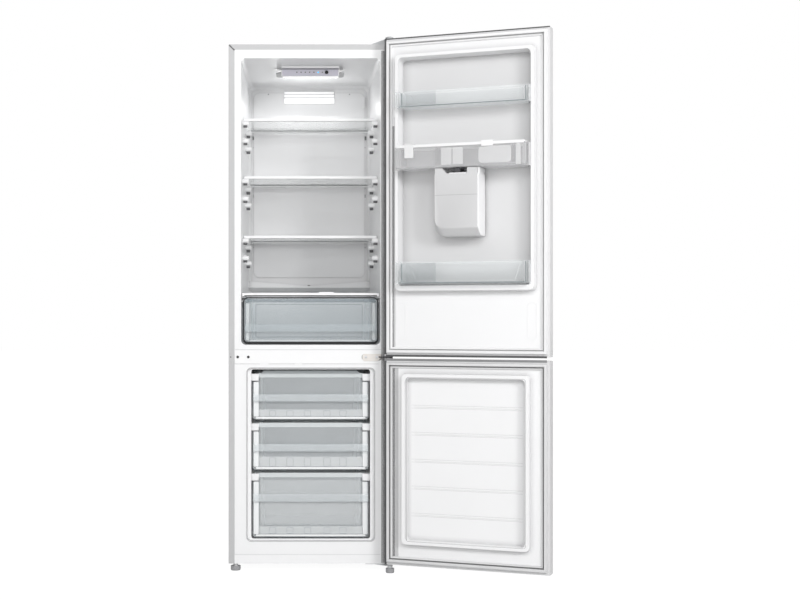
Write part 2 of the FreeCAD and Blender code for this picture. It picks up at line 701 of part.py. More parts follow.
def compressor_carrier():
    """A cross plate with turned-up edges that carries the compressor and both rear rollers."""
    x0 = LEFT + SHEET
    x1 = RIGHT - SHEET
    y0 = NICHE_FRONT + 6
    y1 = BACK - 6
    top = CARRIER_LEVEL
    pieces = [block(x0, x1, y0, y1, top - CARRIER_SHEET, top),
              block(x0, x1, y0, y0 + CARRIER_SHEET, top, top + 12),
              block(x0, x1, y1 - CARRIER_SHEET, y1, top, top + 12)]
    y = BACK - ROLLER_BEHIND
    for x in roller_places():
        for side in (-1, 1):
            face = x + side * (ROLLER_WIDTH / 2 + 1.0)
            edges = sorted((face, face + side * CARRIER_SHEET))
            pieces.append(profile_x([(y - 14, top - CARRIER_SHEET), (y - 7, ROLLER_RADIUS - 7),
                                     (y + 7, ROLLER_RADIUS - 7), (y + 14, top - CARRIER_SHEET)],
                                    edges[0], edges[1]))
        reach = ROLLER_WIDTH / 2 + CARRIER_SHEET + 2
        pieces.append(sided_bar(AXLE_RADIUS, (x - reach, y, ROLLER_RADIUS), (x + reach, y, ROLLER_RADIUS), 8))
    return joined(pieces)


def rear_roller(x):
    y = BACK - ROLLER_BEHIND
    half = ROLLER_WIDTH / 2
    rim = ROLLER_RADIUS / math.cos(math.pi / ROLLER_SIDES)
    wheel = sided_bar(rim, (x - half, y, ROLLER_RADIUS), (x + half, y, ROLLER_RADIUS), ROLLER_SIDES)
    bore = AXLE_RADIUS + PIN_CLEARANCE
    return wheel.cut(cross_rod(bore, y, ROLLER_RADIUS, x - half - 1, x + half + 1))


def mount_places():
    dx, dy = MOUNT_SPREAD
    return [(COMPRESSOR_X + i * dx, COMPRESSOR_Y + j * dy) for i in (-1, 1) for j in (-1, 1)]


def compressor():
    """A welded steel pot on a foot plate, with its suction and discharge stubs."""
    low = CARRIER_LEVEL + MOUNT_HEIGHT
    r = COMPRESSOR_RADIUS
    top = low + FOOT_PLATE + POT_HEIGHT
    belt = low + FOOT_PLATE + 0.55 * POT_HEIGHT
    upright = Vector(0, 0, 1)
    rings = [ring_of_sides(Vector(COMPRESSOR_X, COMPRESSOR_Y, z), upright, radius, COMPRESSOR_SIDES)
             for radius, z in ((r - 14, low + FOOT_PLATE), (r, low + 28), (r - 4, top - 24), (r - 30, top))]
    pot = skinned(rings)
    dx, dy = MOUNT_SPREAD
    foot = block(COMPRESSOR_X - dx - 12, COMPRESSOR_X + dx + 12, COMPRESSOR_Y - dy - 10,
                 COMPRESSOR_Y + dy + 10, low, low + FOOT_PLATE)
    stubs = [sided_bar(4.5, (COMPRESSOR_X - r + 4, COMPRESSOR_Y, z), (COMPRESSOR_X - r - 12, COMPRESSOR_Y, z), 8)
             for z in (belt - 22, belt + 20)]
    return joined([pot, foot] + stubs)


def compressor_mounts():
    """Four rubber blocks between the carrier and the compressor's foot plate."""
    low = CARRIER_LEVEL
    return Part.makeCompound([ribbed_knob(FOOT_SIDES, 11, x, y, low, low + MOUNT_HEIGHT)
                              for x, y in mount_places()])


def evaporation_tray():
    """The tray on the compressor where the drained water dries off."""
    low = CARRIER_LEVEL + MOUNT_HEIGHT + FOOT_PLATE + POT_HEIGHT
    x0 = COMPRESSOR_X - 84
    x1 = COMPRESSOR_X + 66
    y0 = COMPRESSOR_Y - 28
    y1 = COMPRESSOR_Y + 56
    def plan(inset, corner):
        a, b, c, d = x0 + inset, x1 - inset, y0 + inset, y1 - inset
        k = corner
        return [(a + k, c), (b - k, c), (b, c + k), (b, d - k), (b - k, d), (a + k, d), (a, d - k), (a, c + k)]
    outer = profile_z(plan(0, 8), low, low + TRAY_DEPTH)
    return outer.cut(profile_z(plan(2, 7), low + 2, low + TRAY_DEPTH + 1))


def terminal_box():
    """The electrical box on the compressor, with the gland where the supply lead enters."""
    x0 = COMPRESSOR_X + COMPRESSOR_RADIUS + 4.2
    low = CARRIER_LEVEL + MOUNT_HEIGHT + 34
    body = block(x0, x0 + 42, COMPRESSOR_Y - 30, COMPRESSOR_Y + 30, low, low + 62)
    edges = [e for e in body.Edges if abs(e.Vertexes[0].X - e.Vertexes[1].X) > 20]
    body = body.makeChamfer(6, edges)
    neck = block(x0 - 6, x0 + 1, COMPRESSOR_Y - 14, COMPRESSOR_Y + 14, low + 14, low + 40)
    neck = neck.cut(rod(COMPRESSOR_RADIUS + 0.2, COMPRESSOR_X, COMPRESSOR_Y, low, low + 60))
    gland = sided_bar(8, (x0 + 21, COMPRESSOR_Y + 30, low + 20), (x0 + 21, COMPRESSOR_Y + 42, low + 20), 8)
    inlet = sided_bar(4, (x0 + 21, COMPRESSOR_Y + 22, low + 20), (x0 + 21, COMPRESSOR_Y + 43, low + 20), 8)
    return joined([body, neck, gland]).cut(inlet)


def refrigerant_pipes():
    """Discharge and suction pipes with the filter dryer, from the compressor's stubs to the niche roof."""
    low = CARRIER_LEVEL + MOUNT_HEIGHT
    belt = low + FOOT_PLATE + 0.55 * POT_HEIGHT
    x = COMPRESSOR_X - COMPRESSOR_RADIUS - 12
    y = COMPRESSOR_Y
    roof = NICHE_TOP
    suction = tube_run([(x, y, belt + 20), (x - 34, y, belt + 20), (x - 34, y, roof)], 3.2)
    discharge = tube_run([(x, y, belt - 22), (x - 64, y, belt - 22), (x - 64, y, roof)], 2.4)
    dryer_x = x - 100
    dryer = skinned([ring_of_sides(Vector(dryer_x, y, low + z), Vector(0, 0, 1), radius, 12)
                     for radius, z in ((3, 46), (9, 54), (9, 130), (3, 142))])
    capillary = sided_bar(1.6, (dryer_x, y, low + 138), (dryer_x, y, roof), 8)
    feed = tube_run([(dryer_x, y, low + 50), (dryer_x, y, low + 16), (dryer_x - 40, y, low + 16),
                     (dryer_x - 40, y, roof)], 2.4)
    circuit = joined([dryer, capillary, feed])
    return Part.makeCompound([suction, discharge, circuit])


# ---------------------------------------------------------------- hinges, feet and screws

def top_hinge_screw_places():
    return [(RIGHT - 20.0, FRONT + 20.0), (RIGHT - 44.0, FRONT + 20.0), (RIGHT - 32.0, FRONT + 48.0)]


def top_hinge():
    """A plate on the roof with a raised arm that reaches forward over the door, and the pin below it."""
    seat = block(RIGHT - 56, RIGHT - 8, FRONT + 6, FRONT + 60, CABINET_TOP, CABINET_TOP + HINGE_PLATE)
    for x, y in top_hinge_screw_places():
        seat = seat.cut(square_pin(x, y, CABINET_TOP, 2, CABINET_TOP - 1, CABINET_TOP + HINGE_PLATE + 1, SCREW_SHANK))
    arm_low = UPPER_DOOR[1] + 1.5
    riser = block(-14, 6, FRONT + 6, FRONT + 6 + HINGE_PLATE, CABINET_TOP, arm_low + HINGE_PLATE)
    arm = block(-ARM_RADIUS, ARM_RADIUS - 3, 0, FRONT + 6 + HINGE_PLATE, arm_low, arm_low + HINGE_PLATE)
    nose = ribbed_knob(ARM_SIDES, ARM_RADIUS, 0, 0, arm_low, arm_low + HINGE_PLATE)
    pin = rod(PIN_RADIUS, 0, 0, arm_low - PIN_LENGTH, arm_low)
    return joined([seat, riser, arm, nose, pin])


def top_hinge_cover():
    """A low plastic hood over the top hinge, humped across and rounded over the pin."""
    low = UPPER_DOOR[1] + 0.9
    crown = CABINET_TOP + 17.0
    wall = 1.8
    hump = [(RIGHT - 74, CABINET_TOP), (RIGHT - 30, crown - 1), (RIGHT - 24, crown), (RIGHT - 10, crown),
            (RIGHT - 1.5, crown - 2), (RIGHT, crown - 4), (RIGHT, CABINET_TOP)]
    body = profile_y(hump, FRONT + 1, FRONT + 72)
    over = profile_y(hump, -2 * ARM_RADIUS, FRONT + 1)
    plan = joined([block(-15, RIGHT, 0, FRONT + 2, low, crown + 1), rod(RIGHT, 0, 0, low, crown + 1)])
    hood = joined([body, over.common(plan)])
    hollow_hump = [(RIGHT - 68, CABINET_TOP - 1), (RIGHT - 29, crown - 1 - wall), (RIGHT - 24, crown - wall),
                   (RIGHT - 10, crown - wall), (RIGHT - wall, crown - 2 - wall), (RIGHT - wall, CABINET_TOP - 1)]
    hollow = profile_y(hollow_hump, -2 * ARM_RADIUS, FRONT + 72 - wall)
    room = joined([block(-15 + wall, RIGHT - wall, 0, FRONT + 4, CABINET_TOP - 1, crown),
                   rod(RIGHT - wall, 0, 0, CABINET_TOP - 1, crown),
                   block(RIGHT - 80, RIGHT, FRONT + 1 + wall, FRONT + 80, CABINET_TOP - 1, crown)])
    return hood.cut(hollow.common(room))


def middle_hinge():
    """A drilled plate on the cross rail, tapered to an arm that carries a pin up and a pin down."""
    x0 = RIGHT - 102.3
    x1 = RIGHT - 39.7
    low = HINGE_LEVEL - 13.4
    high = HINGE_LEVEL + 10.6
    outline = [(x0 + 5, low), (x0, low + 5), (x0, high - 5), (x0 + 5, high), (x1, high), (x1, ARM_TOP),
               (x1, ARM_BOTTOM), (x1 - 12, low)]
    plate = profile_y(outline, FRONT - HINGE_PLATE, FRONT)
    for x in hinge_screw_places():
        plate = plate.cut(square_pin(x, FRONT, HINGE_LEVEL, 1, FRONT - HINGE_PLATE - 1, FRONT + 1, SCREW_SHANK))
    r = ARM_RADIUS
    arm = profile_z([(x1 - 8, FRONT - HINGE_PLATE), (x1, FRONT), (-r, 0.9 * r), (r, 0), (0, -r), (-r, -0.4 * r)],
                    ARM_BOTTOM, ARM_TOP)
    nose = ribbed_knob(ARM_SIDES, r, 0, 0, ARM_BOTTOM, ARM_TOP)
    pin = rod(PIN_RADIUS, 0, 0, ARM_BOTTOM - PIN_LENGTH, ARM_TOP + PIN_LENGTH)
    return joined([plate, arm, nose, pin])


def bottom_hinge():
    """A plate under the cabinet with the lower door's pin above and the right foot's nut below."""
    top = CABINET_BASE
    plate = block(RIGHT - 92, RIGHT - 2, FRONT + 4, FRONT + 52, top - HINGE_PLATE, top)
    tongue = profile_z([(RIGHT - 60, FRONT + 4), (RIGHT - 2, FRONT + 4), (ARM_RADIUS, 0), (-ARM_RADIUS, 0)],
                       top - HINGE_PLATE, top)
    nose = ribbed_knob(ARM_SIDES, ARM_RADIUS, 0, 0, top - HINGE_PLATE, top)
    pin = rod(PIN_RADIUS, 0, 0, top, top + LOWER_DOOR_RISE + PIN_LENGTH)
    nut = ribbed_knob(6, FOOT_NUT, 0, 0, FOOT_HEIGHT - 7, top - HINGE_PLATE)
    hinge = joined([plate, tongue, nose, pin, nut])
    return hinge.cut(rod(FOOT_STEM + PIN_CLEARANCE, 0, 0, FOOT_HEIGHT - 8, top - HINGE_PLATE - 0.5))


def hinge_screws():
    screws = [screw_down(x, y, CABINET_TOP + HINGE_PLATE) for x, y in top_hinge_screw_places()]
    screws += [screw_in(x, HINGE_LEVEL, FRONT - HINGE_PLATE) for x in hinge_screw_places()]
    return Part.makeCompound(screws)


def left_foot_centre():
    return LEFT + LEFT_FOOT_INSET, FRONT + LEFT_FOOT_BEHIND


def levelling_foot(x, y, radius, stem_top):
    """A cupped pad on a threaded stem; the cup hides the nut that the stem turns in."""
    pad = ribbed_knob(FOOT_SIDES, radius - 1, x, y, 0, 3)
    cup = ribbed_knob(FOOT_SIDES, radius, x, y, 3, FOOT_HEIGHT)
    cup = cup.cut(ribbed_knob(FOOT_SIDES, FOOT_NUT + 1.4, x, y, 5, FOOT_HEIGHT + 1))
    return joined([pad, cup, rod(FOOT_STEM, x, y, 4, stem_top)])


# ---------------------------------------------------------------- lighting and controls

CONTROL_HALF = 97.0
CONTROL_FRONT = 108.0
CONTROL_DEPTH = 175.0
CONTROL_FACE = 24.0
FASCIA_THICK = 2.0
DOT_RADIUS = 2.6
DOT_PITCH = 14.6
DOT_COUNT = 7
DOT_SIDES = 8
FIRST_DOT = -46.0
BUTTON_OFFSET = 56.0
BUTTON_RADIUS = 6.0
BUTTON_SIDES = 20
BUTTON_TRAVEL = 1.5


def ceiling_at(y):
    return FRIDGE_CEILING - CEILING_DRAFT * (y - FRONT)


def control_profile(shift=0.0):
    """Side profile under the ceiling: a leaning face in front, a flat underside rising to the back."""
    y0 = FRONT + CONTROL_FRONT
    top = ceiling_at(y0) - 0.3
    low = top - CONTROL_FACE - 9
    rear = y0 + CONTROL_DEPTH
    return [(y0 - 6 + shift, top), (y0 + shift, top - 9), (y0 + 7 + shift, low), (y0 + 14, low - 3),
            (rear - 20, ceiling_at(rear) - 7), (rear, ceiling_at(rear) - 0.3)]


def control_housing():
    """The control and lamp unit under the fridge ceiling, hollow towards the ceiling."""
    body = profile_x(control_profile(), MIDDLE - CONTROL_HALF - 2, MIDDLE + CONTROL_HALF + 2)
    inner = profile_x(control_profile(), MIDDLE - CONTROL_HALF, MIDDLE + CONTROL_HALF)
    inner.scale(0.9, Vector(MIDDLE, FRONT + CONTROL_FRONT + 60, ceiling_at(FRONT + CONTROL_FRONT + 60)))
    housing = body.cut(inner)
    return housing.cut(fascia_block(0.15)).cut(button_bore())


def fascia_block(grow=0.0):
    """The flat leaning face that carries the lights, as a thin slab laid into the housing."""
    y0 = FRONT + CONTROL_FRONT
    top = ceiling_at(y0) - 0.3 - 9.5
    low = top - CONTROL_FACE + 1
    lean = 7.0 / (CONTROL_FACE + 0.5)
    points = [(y0 - 1, top + grow), (y0 + FASCIA_THICK + grow, top + grow),
              (y0 + FASCIA_THICK + grow + lean * (top - low), low - grow), (y0 - 1, low - grow)]
    slab = profile_x(points, MIDDLE - CONTROL_HALF + 1 - grow, MIDDLE + CONTROL_HALF - 1 + grow)
    front = profile_x(control_profile(0.2), MIDDLE - CONTROL_HALF - 2, MIDDLE + CONTROL_HALF + 2)
    return slab.common(front) if not grow else slab


def fascia_face_point(x):
    """A point on the leaning face, half way up, and the direction that it looks in."""
    y0 = FRONT + CONTROL_FRONT
    top = ceiling_at(y0) - 0.3 - 9
    low = top - CONTROL_FACE
    normal = Vector(0, -CONTROL_FACE, -7.0).normalize()
    return Vector(x, y0 + 3.5, (top + low) / 2), normal


def light_places():
    return [MIDDLE + FIRST_DOT + DOT_PITCH * i for i in range(DOT_COUNT)]


def face_plug(x, radius, out, deep, sides):
    """A short plug with flat sides, square to the leaning face."""
    point, normal = fascia_face_point(x)
    return sided_bar(radius, tuple(point - normal * deep), tuple(point + normal * out), sides)


def button_bore():
    return face_plug(MIDDLE + BUTTON_OFFSET, BUTTON_RADIUS + 0.4, 4, 14, BUTTON_SIDES)


def control_fascia():
    fascia = fascia_block()
    holes = [face_plug(x, DOT_RADIUS, 3, 6, DOT_SIDES) for x in light_places()]
    return fascia.cut(holes + [button_bore()])


def indicator_lights():
    return Part.makeCompound([face_plug(x, DOT_RADIUS, 0.2, 1.4, DOT_SIDES) for x in light_places()])


def control_button():
    return face_plug(MIDDLE + BUTTON_OFFSET, BUTTON_RADIUS, 1.8, 5, BUTTON_SIDES)


def air_outlet_grille():
    """The louvred plate high on the back wall: three blades on a shallow frame."""
    wall = FRIDGE_BACK - 3
    x0 = MIDDLE - 92
    x1 = MIDDLE + 92
    low = 1627.0
    high = 1676.0
    plate = upright_plate(x0, x1, low, high, 4, wall - 2, wall)
    blades = []
    for z0, z1 in ((low + 2, low + 26), (low + 31, low + 39), (low + 42, low + 47)):
        blades.append(profile_x([(wall - 2, z1), (wall - 6, z1 - 0.4 * (z1 - z0)), (wall - 6, z0 + 1), (wall - 2, z0)],
                                x0 + 3, x1 - 3))
    return joined([plate] + blades)


# ---------------------------------------------------------------- shelves and crisper

def glass_half(y):
    """Half the width of a glass at depth y: it narrows with the compartment."""
    return wall_at(FRIDGE_WIDTH, y) - SHELF_SIDE_GAP


def glass_plate(y0, y1, top):
    a = glass_half(y0)
    b = glass_half(y1)
    return profile_z([(MIDDLE - a, y0), (MIDDLE + a, y0), (MIDDLE + b, y1), (MIDDLE - b, y1)], top - GLASS, top)


def trim_strip(half, y0, depth, top, height, slot_from_front, slot_top):
    """A moulded strip along a glass edge, slotted so that the glass seats in it."""
    bevel = 1.2
    strip = profile_x([(y0, top - height + bevel), (y0, top - bevel), (y0 + bevel, top), (y0 + depth - bevel, top),
                       (y0 + depth, top - bevel), (y0 + depth, top - height), (y0 + bevel, top - height)],
                      MIDDLE - half, MIDDLE + half)
    y_slot = (y0 + 4, y0 + depth + 1) if slot_from_front else (y0 - 1, y0 + depth - 4)
    return strip.cut(block(MIDDLE - half - 1, MIDDLE + half + 1, y_slot[0], y_slot[1], slot_top - GLASS, slot_top))


def shelf_glass(level):
    return glass_plate(SHELF_FRONT + 4, SHELF_BACK - 4, level)


def shelf_trims(level):
    front = trim_strip(glass_half(SHELF_FRONT + SHELF_TRIM_DEPTH), SHELF_FRONT, SHELF_TRIM_DEPTH, level + 2,
                       SHELF_TRIM, True, level)
    between_rests = wall_at(FRIDGE_WIDTH, SHELF_BACK - REAR_REST) - REST_REACH - 2 * SLIDE_GAP
    rear = trim_strip(between_rests, SHELF_BACK - SHELF_TRIM_DEPTH, SHELF_TRIM_DEPTH, level + 8,
                      REAR_TRIM_HEIGHT, False, level)
    return Part.makeCompound([front, rear])


def crisper_cover():
    return glass_plate(FRONT + 8, FRONT + COVER_DEPTH, COVER_GLASS_TOP)


def crisper_cover_trim():
    """The white bar along the cover's front edge, with a raised finger tab."""
    bar = trim_strip(glass_half(FRONT + 16), FRONT + 4, 12, COVER_TOP, COVER_TRIM, True, COVER_GLASS_TOP)
    tab_top = COVER_TOP + COVER_TAB
    tab = profile_y([(MIDDLE + 26, COVER_TOP - 1), (MIDDLE + 29, tab_top), (MIDDLE + 76, tab_top),
                     (MIDDLE + 79, COVER_TOP - 1)], FRONT + 6, FRONT + 10)
    return joined([bar, tab])


def lip_handle(half, y_plate, z_top):
    """A finger pull: a strip in front of the drawer face, joined to it along its foot."""
    y0 = y_plate - LIP_REACH
    strip = profile_x([(y0 + 2, z_top), (y0 + 4.4, z_top), (y0 + 2.4, z_top - LIP_HEIGHT + 3),
                       (y_plate + 0.5, z_top - LIP_HEIGHT + 2.4), (y_plate + 0.5, z_top - LIP_HEIGHT),
                       (y0, z_top - LIP_HEIGHT)], MIDDLE - half, MIDDLE + half)
    return strip


def drawer_tub(half, y0, y1, z0, z1, rim):
    """An open tub that narrows towards its floor, with a rim along both sides that runs on the rails."""
    wall = DRAWER_WALL
    slope = 7.0
    outer = skinned([flat_outline(MIDDLE - half + slope, MIDDLE + half - slope, y0, y1 - slope,
                                  DRAWER_RADIUS, z0),
                     flat_outline(MIDDLE - half, MIDDLE + half, y0, y1, DRAWER_RADIUS, z1)])
    inner = skinned([flat_outline(MIDDLE - half + slope + wall, MIDDLE + half - slope - wall, y0 + wall,
                                  y1 - slope - wall, DRAWER_RADIUS - wall, z0 + wall),
                     flat_outline(MIDDLE - half + wall, MIDDLE + half - wall, y0 + wall, y1 - wall,
                                  DRAWER_RADIUS - wall, z1 + 1)])
    rims = [block(MIDDLE - half - rim, MIDDLE - half + wall, y0 + 22, y1 - 16, z1 - wall, z1),
            block(MIDDLE + half - wall, MIDDLE + half + rim, y0 + 22, y1 - 16, z1 - wall, z1)]
    return joined([outer] + rims).cut(inner)


def drawer_front(half, y, z0, z1, thick):
    """The front of a drawer: square at the top, rounded at its lower corners."""
    plate = upright_plate(MIDDLE - half, MIDDLE + half, z0, z1 + 2 * DRAWER_RADIUS, DRAWER_RADIUS, y, y + thick)
    return plate.common(block(MIDDLE - half, MIDDLE + half, y, y + thick, z0, z1))


def crisper_drawer():
    half = CRISPER_WIDTH / 2 - OUTLINE_WIDTH
    y = FRONT + CRISPER_FRONT
    tub = drawer_tub(half - 18, y, FRONT + CRISPER_BACK, CRISPER_FOOT + OUTLINE_WIDTH + 1, CRISPER_TOP, 14)
    front = drawer_front(half, y, CRISPER_FOOT + OUTLINE_WIDTH, CRISPER_FRONT_TOP, 3)
    handle = lip_handle(half - 2, y, CRISPER_LIP_TOP)
    return joined([tub, front, handle])


def crisper_outline():
    """The dark seal round the sides and foot of the crisper's front."""
    half = CRISPER_WIDTH / 2
    y = FRONT + CRISPER_FRONT
    outside = drawer_front(half, y - 1, CRISPER_FOOT, CRISPER_FRONT_TOP, 4)
    inside = drawer_front(half - OUTLINE_WIDTH, y - 2, CRISPER_FOOT + OUTLINE_WIDTH, CRISPER_FRONT_TOP + 1, 6)
    return outside.cut(inside)


def freezer_drawer(index):
    top = DRAWER_TOPS[index]
    foot = DRAWER_FEET[index]
    half = DRAWER_WIDTH / 2
    y = FRONT + DRAWER_FRONT
    tub = drawer_tub(half - TUB_INSET, y, drawer_depth(index), foot + 3, top, TUB_INSET - 6)
    front = drawer_front(half, y, foot, top, 3)
    for side in (-1, 1):
        inner = half - TUB_INSET + 3
        x0, x1 = sorted((MIDDLE + side * inner, MIDDLE + side * (half + 1)))
        front = front.cut(block(x0, x1, y - 1, y + 4, top - NOTCH_HEIGHT, top + 1))
    handle = lip_handle(half - 2, y, top - DRAWER_LIP_DROP)
    ribs = []
    if index == len(DRAWER_NAMES) - 1:
        for i in range(-2, 3):
            x = MIDDLE + 50 * i
            ribs.append(block(x - 9, x + 9, y + 14, y + 40, foot + 3 + DRAWER_WALL - 0.5, foot + 3 + DRAWER_WALL + 2.5))
    return joined([tub, front, handle] + ribs)


# ---------------------------------------------------------------- doors

def at(u):
    """The x of a point u from the door's hinge edge, with the door closed."""
    return HINGE_INSET - u


def door_block(u0, u1, w0, w1, z0, z1):
    return block(at(u1), at(u0), AXIS_TO_LINER + w0, AXIS_TO_LINER + w1, z0, z1)


def door_plate(u0, u1, z0, z1, radius, w0, w1):
    return upright_plate(at(u1), at(u0), z0, z1, radius, AXIS_TO_LINER + w0, AXIS_TO_LINER + w1)


def door_ridge(u0, u1, z0, z1, radius, w0, w1, slope):
    """A raised rounded block that narrows as it rises from w0 to w1."""
    lean = slope * (w1 - w0)
    wires = [upright_outline(at(u1), at(u0), z0, z1, radius, AXIS_TO_LINER + w0),
             upright_outline(at(u1 - lean), at(u0 + lean), z0 + lean, z1 - lean, radius, AXIS_TO_LINER + w1)]
    return skinned(wires)


def door_profile(points, u0, u1):
    """A prism along the door's width, from a side profile of (w, z) points."""
    return profile_x([(AXIS_TO_LINER + w, z) for w, z in points], at(u1), at(u0))


def swung(shape):
    """A door piece turned from closed to the open position about the hinge line."""
    opened = shape.copy()
    opened.rotate(Vector(0, 0, 0), Vector(0, 0, 1), DOOR_OPEN)
    return opened


def upper_dike():
    """(first u, last u, foot z, top z) of the upper door's raised rim, at its base."""
    inset = (CABINET_WIDTH - FRIDGE_WIDTH) / 2 + DIKE_CLEARANCE - DIKE_SLOPE * GASKET_HEIGHT
    return inset, CABINET_WIDTH - inset, UPPER_DIKE_LEDGE, UPPER_DIKE_TOP


def lower_dike():
    inset = (CABINET_WIDTH - FREEZER_WIDTH) / 2 + DIKE_CLEARANCE - DIKE_SLOPE * GASKET_HEIGHT
    return inset, CABINET_WIDTH - inset, LOWER_DIKE_FOOT, LOWER_DIKE_TOP


def door_skin(z0, z1, grip_z0, grip_z1):
    """The outer sheet: front, two sides and narrow returns, open at both ends for the caps."""
    w1 = DOOR_THICKNESS
    outside = door_block(0, CABINET_WIDTH, -w1, 0, z0 + CAP_BAND, z1 - CAP_BAND)
    front_edges = [e for e in outside.Edges if abs(e.Vertexes[0].Z - e.Vertexes[1].Z) > 100
                   and e.Vertexes[0].Y < AXIS_TO_LINER - 1]
    outside = outside.makeFillet(DOOR_EDGE_ROUND, front_edges)
    inside = door_block(DOOR_SHEET, CABINET_WIDTH - DOOR_SHEET, -w1 + DOOR_SHEET, -DOOR_SHEET, z0, z1)
    inner_edges = [e for e in inside.Edges if abs(e.Vertexes[0].Z - e.Vertexes[1].Z) > 100
                   and e.Vertexes[0].Y < AXIS_TO_LINER - 2]
    inside = inside.makeFillet(DOOR_EDGE_ROUND - DOOR_SHEET, inner_edges)
    mouth = door_block(DOOR_FLANGE, CABINET_WIDTH - DOOR_FLANGE, -2 * DOOR_SHEET, 1, z0, z1)
    grip = door_block(GRIP_U0, GRIP_U1, -w1 - 1, -w1 + DOOR_SHEET, grip_z0, grip_z1)
    return outside.cut([inside, mouth, grip])


GRIP_U0 = 330.0
GRIP_U1 = 492.0
GRIP_HEIGHT = 24.0
GRIP_POCKET = 36.0
GRIP_DEPTH = 27.0
GRIP_WALL = 2.5


def grip_tools(edge, up):
    """The finger pocket in an end cap: its walls, and the hollow cut from them."""
    def span(near, far):
        return sorted((edge + up * near, edge + up * far))
    w0 = -DOOR_THICKNESS
    low, high = span(0, GRIP_POCKET)
    walls = door_block(GRIP_U0 - GRIP_WALL, GRIP_U1 + GRIP_WALL, w0 + DOOR_SHEET, w0 + GRIP_DEPTH + GRIP_WALL,
                       low, high)
    low, high = span(-1, GRIP_HEIGHT)
    mouth = door_block(GRIP_U0, GRIP_U1, w0 - 1, w0 + GRIP_DEPTH, low, high)
    low, high = span(GRIP_HEIGHT - 1, GRIP_POCKET - GRIP_WALL)
    hook = door_block(GRIP_U0, GRIP_U1, w0 + GRIP_WALL, w0 + GRIP_DEPTH, low, high)
    return walls, [mouth, hook]


def bush_block(edge, up):
    """The boss inside the door that the hinge pin's bore is made in."""
    r = BUSH_RADIUS
    return block(-r, r, -r, r, *sorted((edge, edge + up * BUSH_LENGTH)))


def door_cap(edge, up, grip, collar):
    """An end cap with the bush for the hinge pin, a thrust collar and, where asked, the finger pocket."""
    low, high = sorted((edge, edge + up * CAP_BAND))
    band = door_block(0, CABINET_WIDTH, -DOOR_THICKNESS, 0, low, high)
    front_edges = [e for e in band.Edges if abs(e.Vertexes[0].Z - e.Vertexes[1].Z) > 2
                   and e.Vertexes[0].Y < AXIS_TO_LINER - 1]
    band = band.makeFillet(DOOR_EDGE_ROUND, front_edges)
    collar_span = sorted((edge - up * collar, edge + up))
    pieces = [band, ribbed_knob(ARM_SIDES, BUSH_RADIUS, 0, 0, *collar_span), bush_block(edge, up)]
    cuts = [rod(PIN_RADIUS + PIN_CLEARANCE, 0, 0, *sorted((edge - up * (collar + 1), edge + up * (BUSH_LENGTH - 2))))]
    if grip:
        walls, hollows = grip_tools(edge, up)
        pieces.append(walls)
        cuts += hollows
    return joined(pieces).cut(cuts)


def door_caps(z0, z1, grip_at_top, foot_collar, head_collar):
    return Part.makeCompound([door_cap(z0, 1, not grip_at_top, foot_collar),
                              door_cap(z1, -1, grip_at_top, head_collar)])


def door_foam(z0, z1, liner_solid, grip_at_top, extra):
    """The foam between skin, caps and liner."""
    foam = door_block(DOOR_SHEET, CABINET_WIDTH - DOOR_SHEET, -DOOR_THICKNESS + DOOR_SHEET, -DOOR_LINER,
                      z0 + CAP_BAND, z1 - CAP_BAND)
    front_edges = [e for e in foam.Edges if abs(e.Vertexes[0].Z - e.Vertexes[1].Z) > 100
                   and e.Vertexes[0].Y < AXIS_TO_LINER - 5]
    foam = foam.makeFillet(DOOR_EDGE_ROUND - DOOR_SHEET, front_edges)
    edge, up = (z1, -1) if grip_at_top else (z0, 1)
    walls, hollows = grip_tools(edge, up)
    return foam.cut([liner_solid, walls, bush_block(z0, 1), bush_block(z1, -1)] + extra)


def dike_ring(dike, height, width, ledge, pan, shrink):
    """The raised rim of a door's inside. shrink takes the sheet's thickness off for the hollow behind it."""
    u0, u1, z0, z1 = dike
    s = shrink
    outer = door_ridge(u0 + s, u1 - s, z0 + s, z1 - s, DIKE_RADIUS, -DOOR_LINER, height - s, DIKE_SLOPE)
    lean = DIKE_SLOPE * height
    spread = DIKE_SLOPE * (height + pan)
    inner_top = (u0 + lean + width, u1 - lean - width, z0 + lean + ledge, z1 - lean - width)
    a, b, c, d = inner_top
    wires = [upright_outline(at(b - spread + s), at(a + spread - s), c + spread - s, d - spread + s, DIKE_RADIUS,
                             AXIS_TO_LINER - pan),
             upright_outline(at(b + s), at(a - s), c - s, d + s, DIKE_RADIUS, AXIS_TO_LINER + height + 0.01)]
    return outer, skinned(wires)


def door_liner(z0, z1, dike, height, width, ledge, pan):
    """A formed sheet: flat round the edge, a hollow rim that enters the compartment, a pan inside it."""
    sheet = door_block(DOOR_FLANGE, CABINET_WIDTH - DOOR_FLANGE, -DOOR_LINER, 0, z0 + CAP_BAND, z1 - CAP_BAND)
    outer, inner = dike_ring(dike, height, width, ledge, pan, 0.0)
    outer_less, inner_more = dike_ring(dike, height, width, ledge, pan, DOOR_LINER)
    b = inner.BoundBox
    floor = block(b.XMin, b.XMax, AXIS_TO_LINER - pan - DOOR_LINER, AXIS_TO_LINER - pan, b.ZMin, b.ZMax)
    deep = inner.copy()
    deep.translate(Vector(0, -DOOR_LINER, 0))
    solid = sheet.fuse([outer, deep])
    solid = solid.cut(inner)
    hollow = outer_less.cut(inner_more)
    keep = door_block(0, CABINET_WIDTH, -pan - 2 * DOOR_LINER, height - DOOR_LINER, z0, z1)
    formed = solid.cut(hollow.common(keep))
    return max(formed.Solids, key=lambda s: s.Volume).removeSplitter(), deep, inner


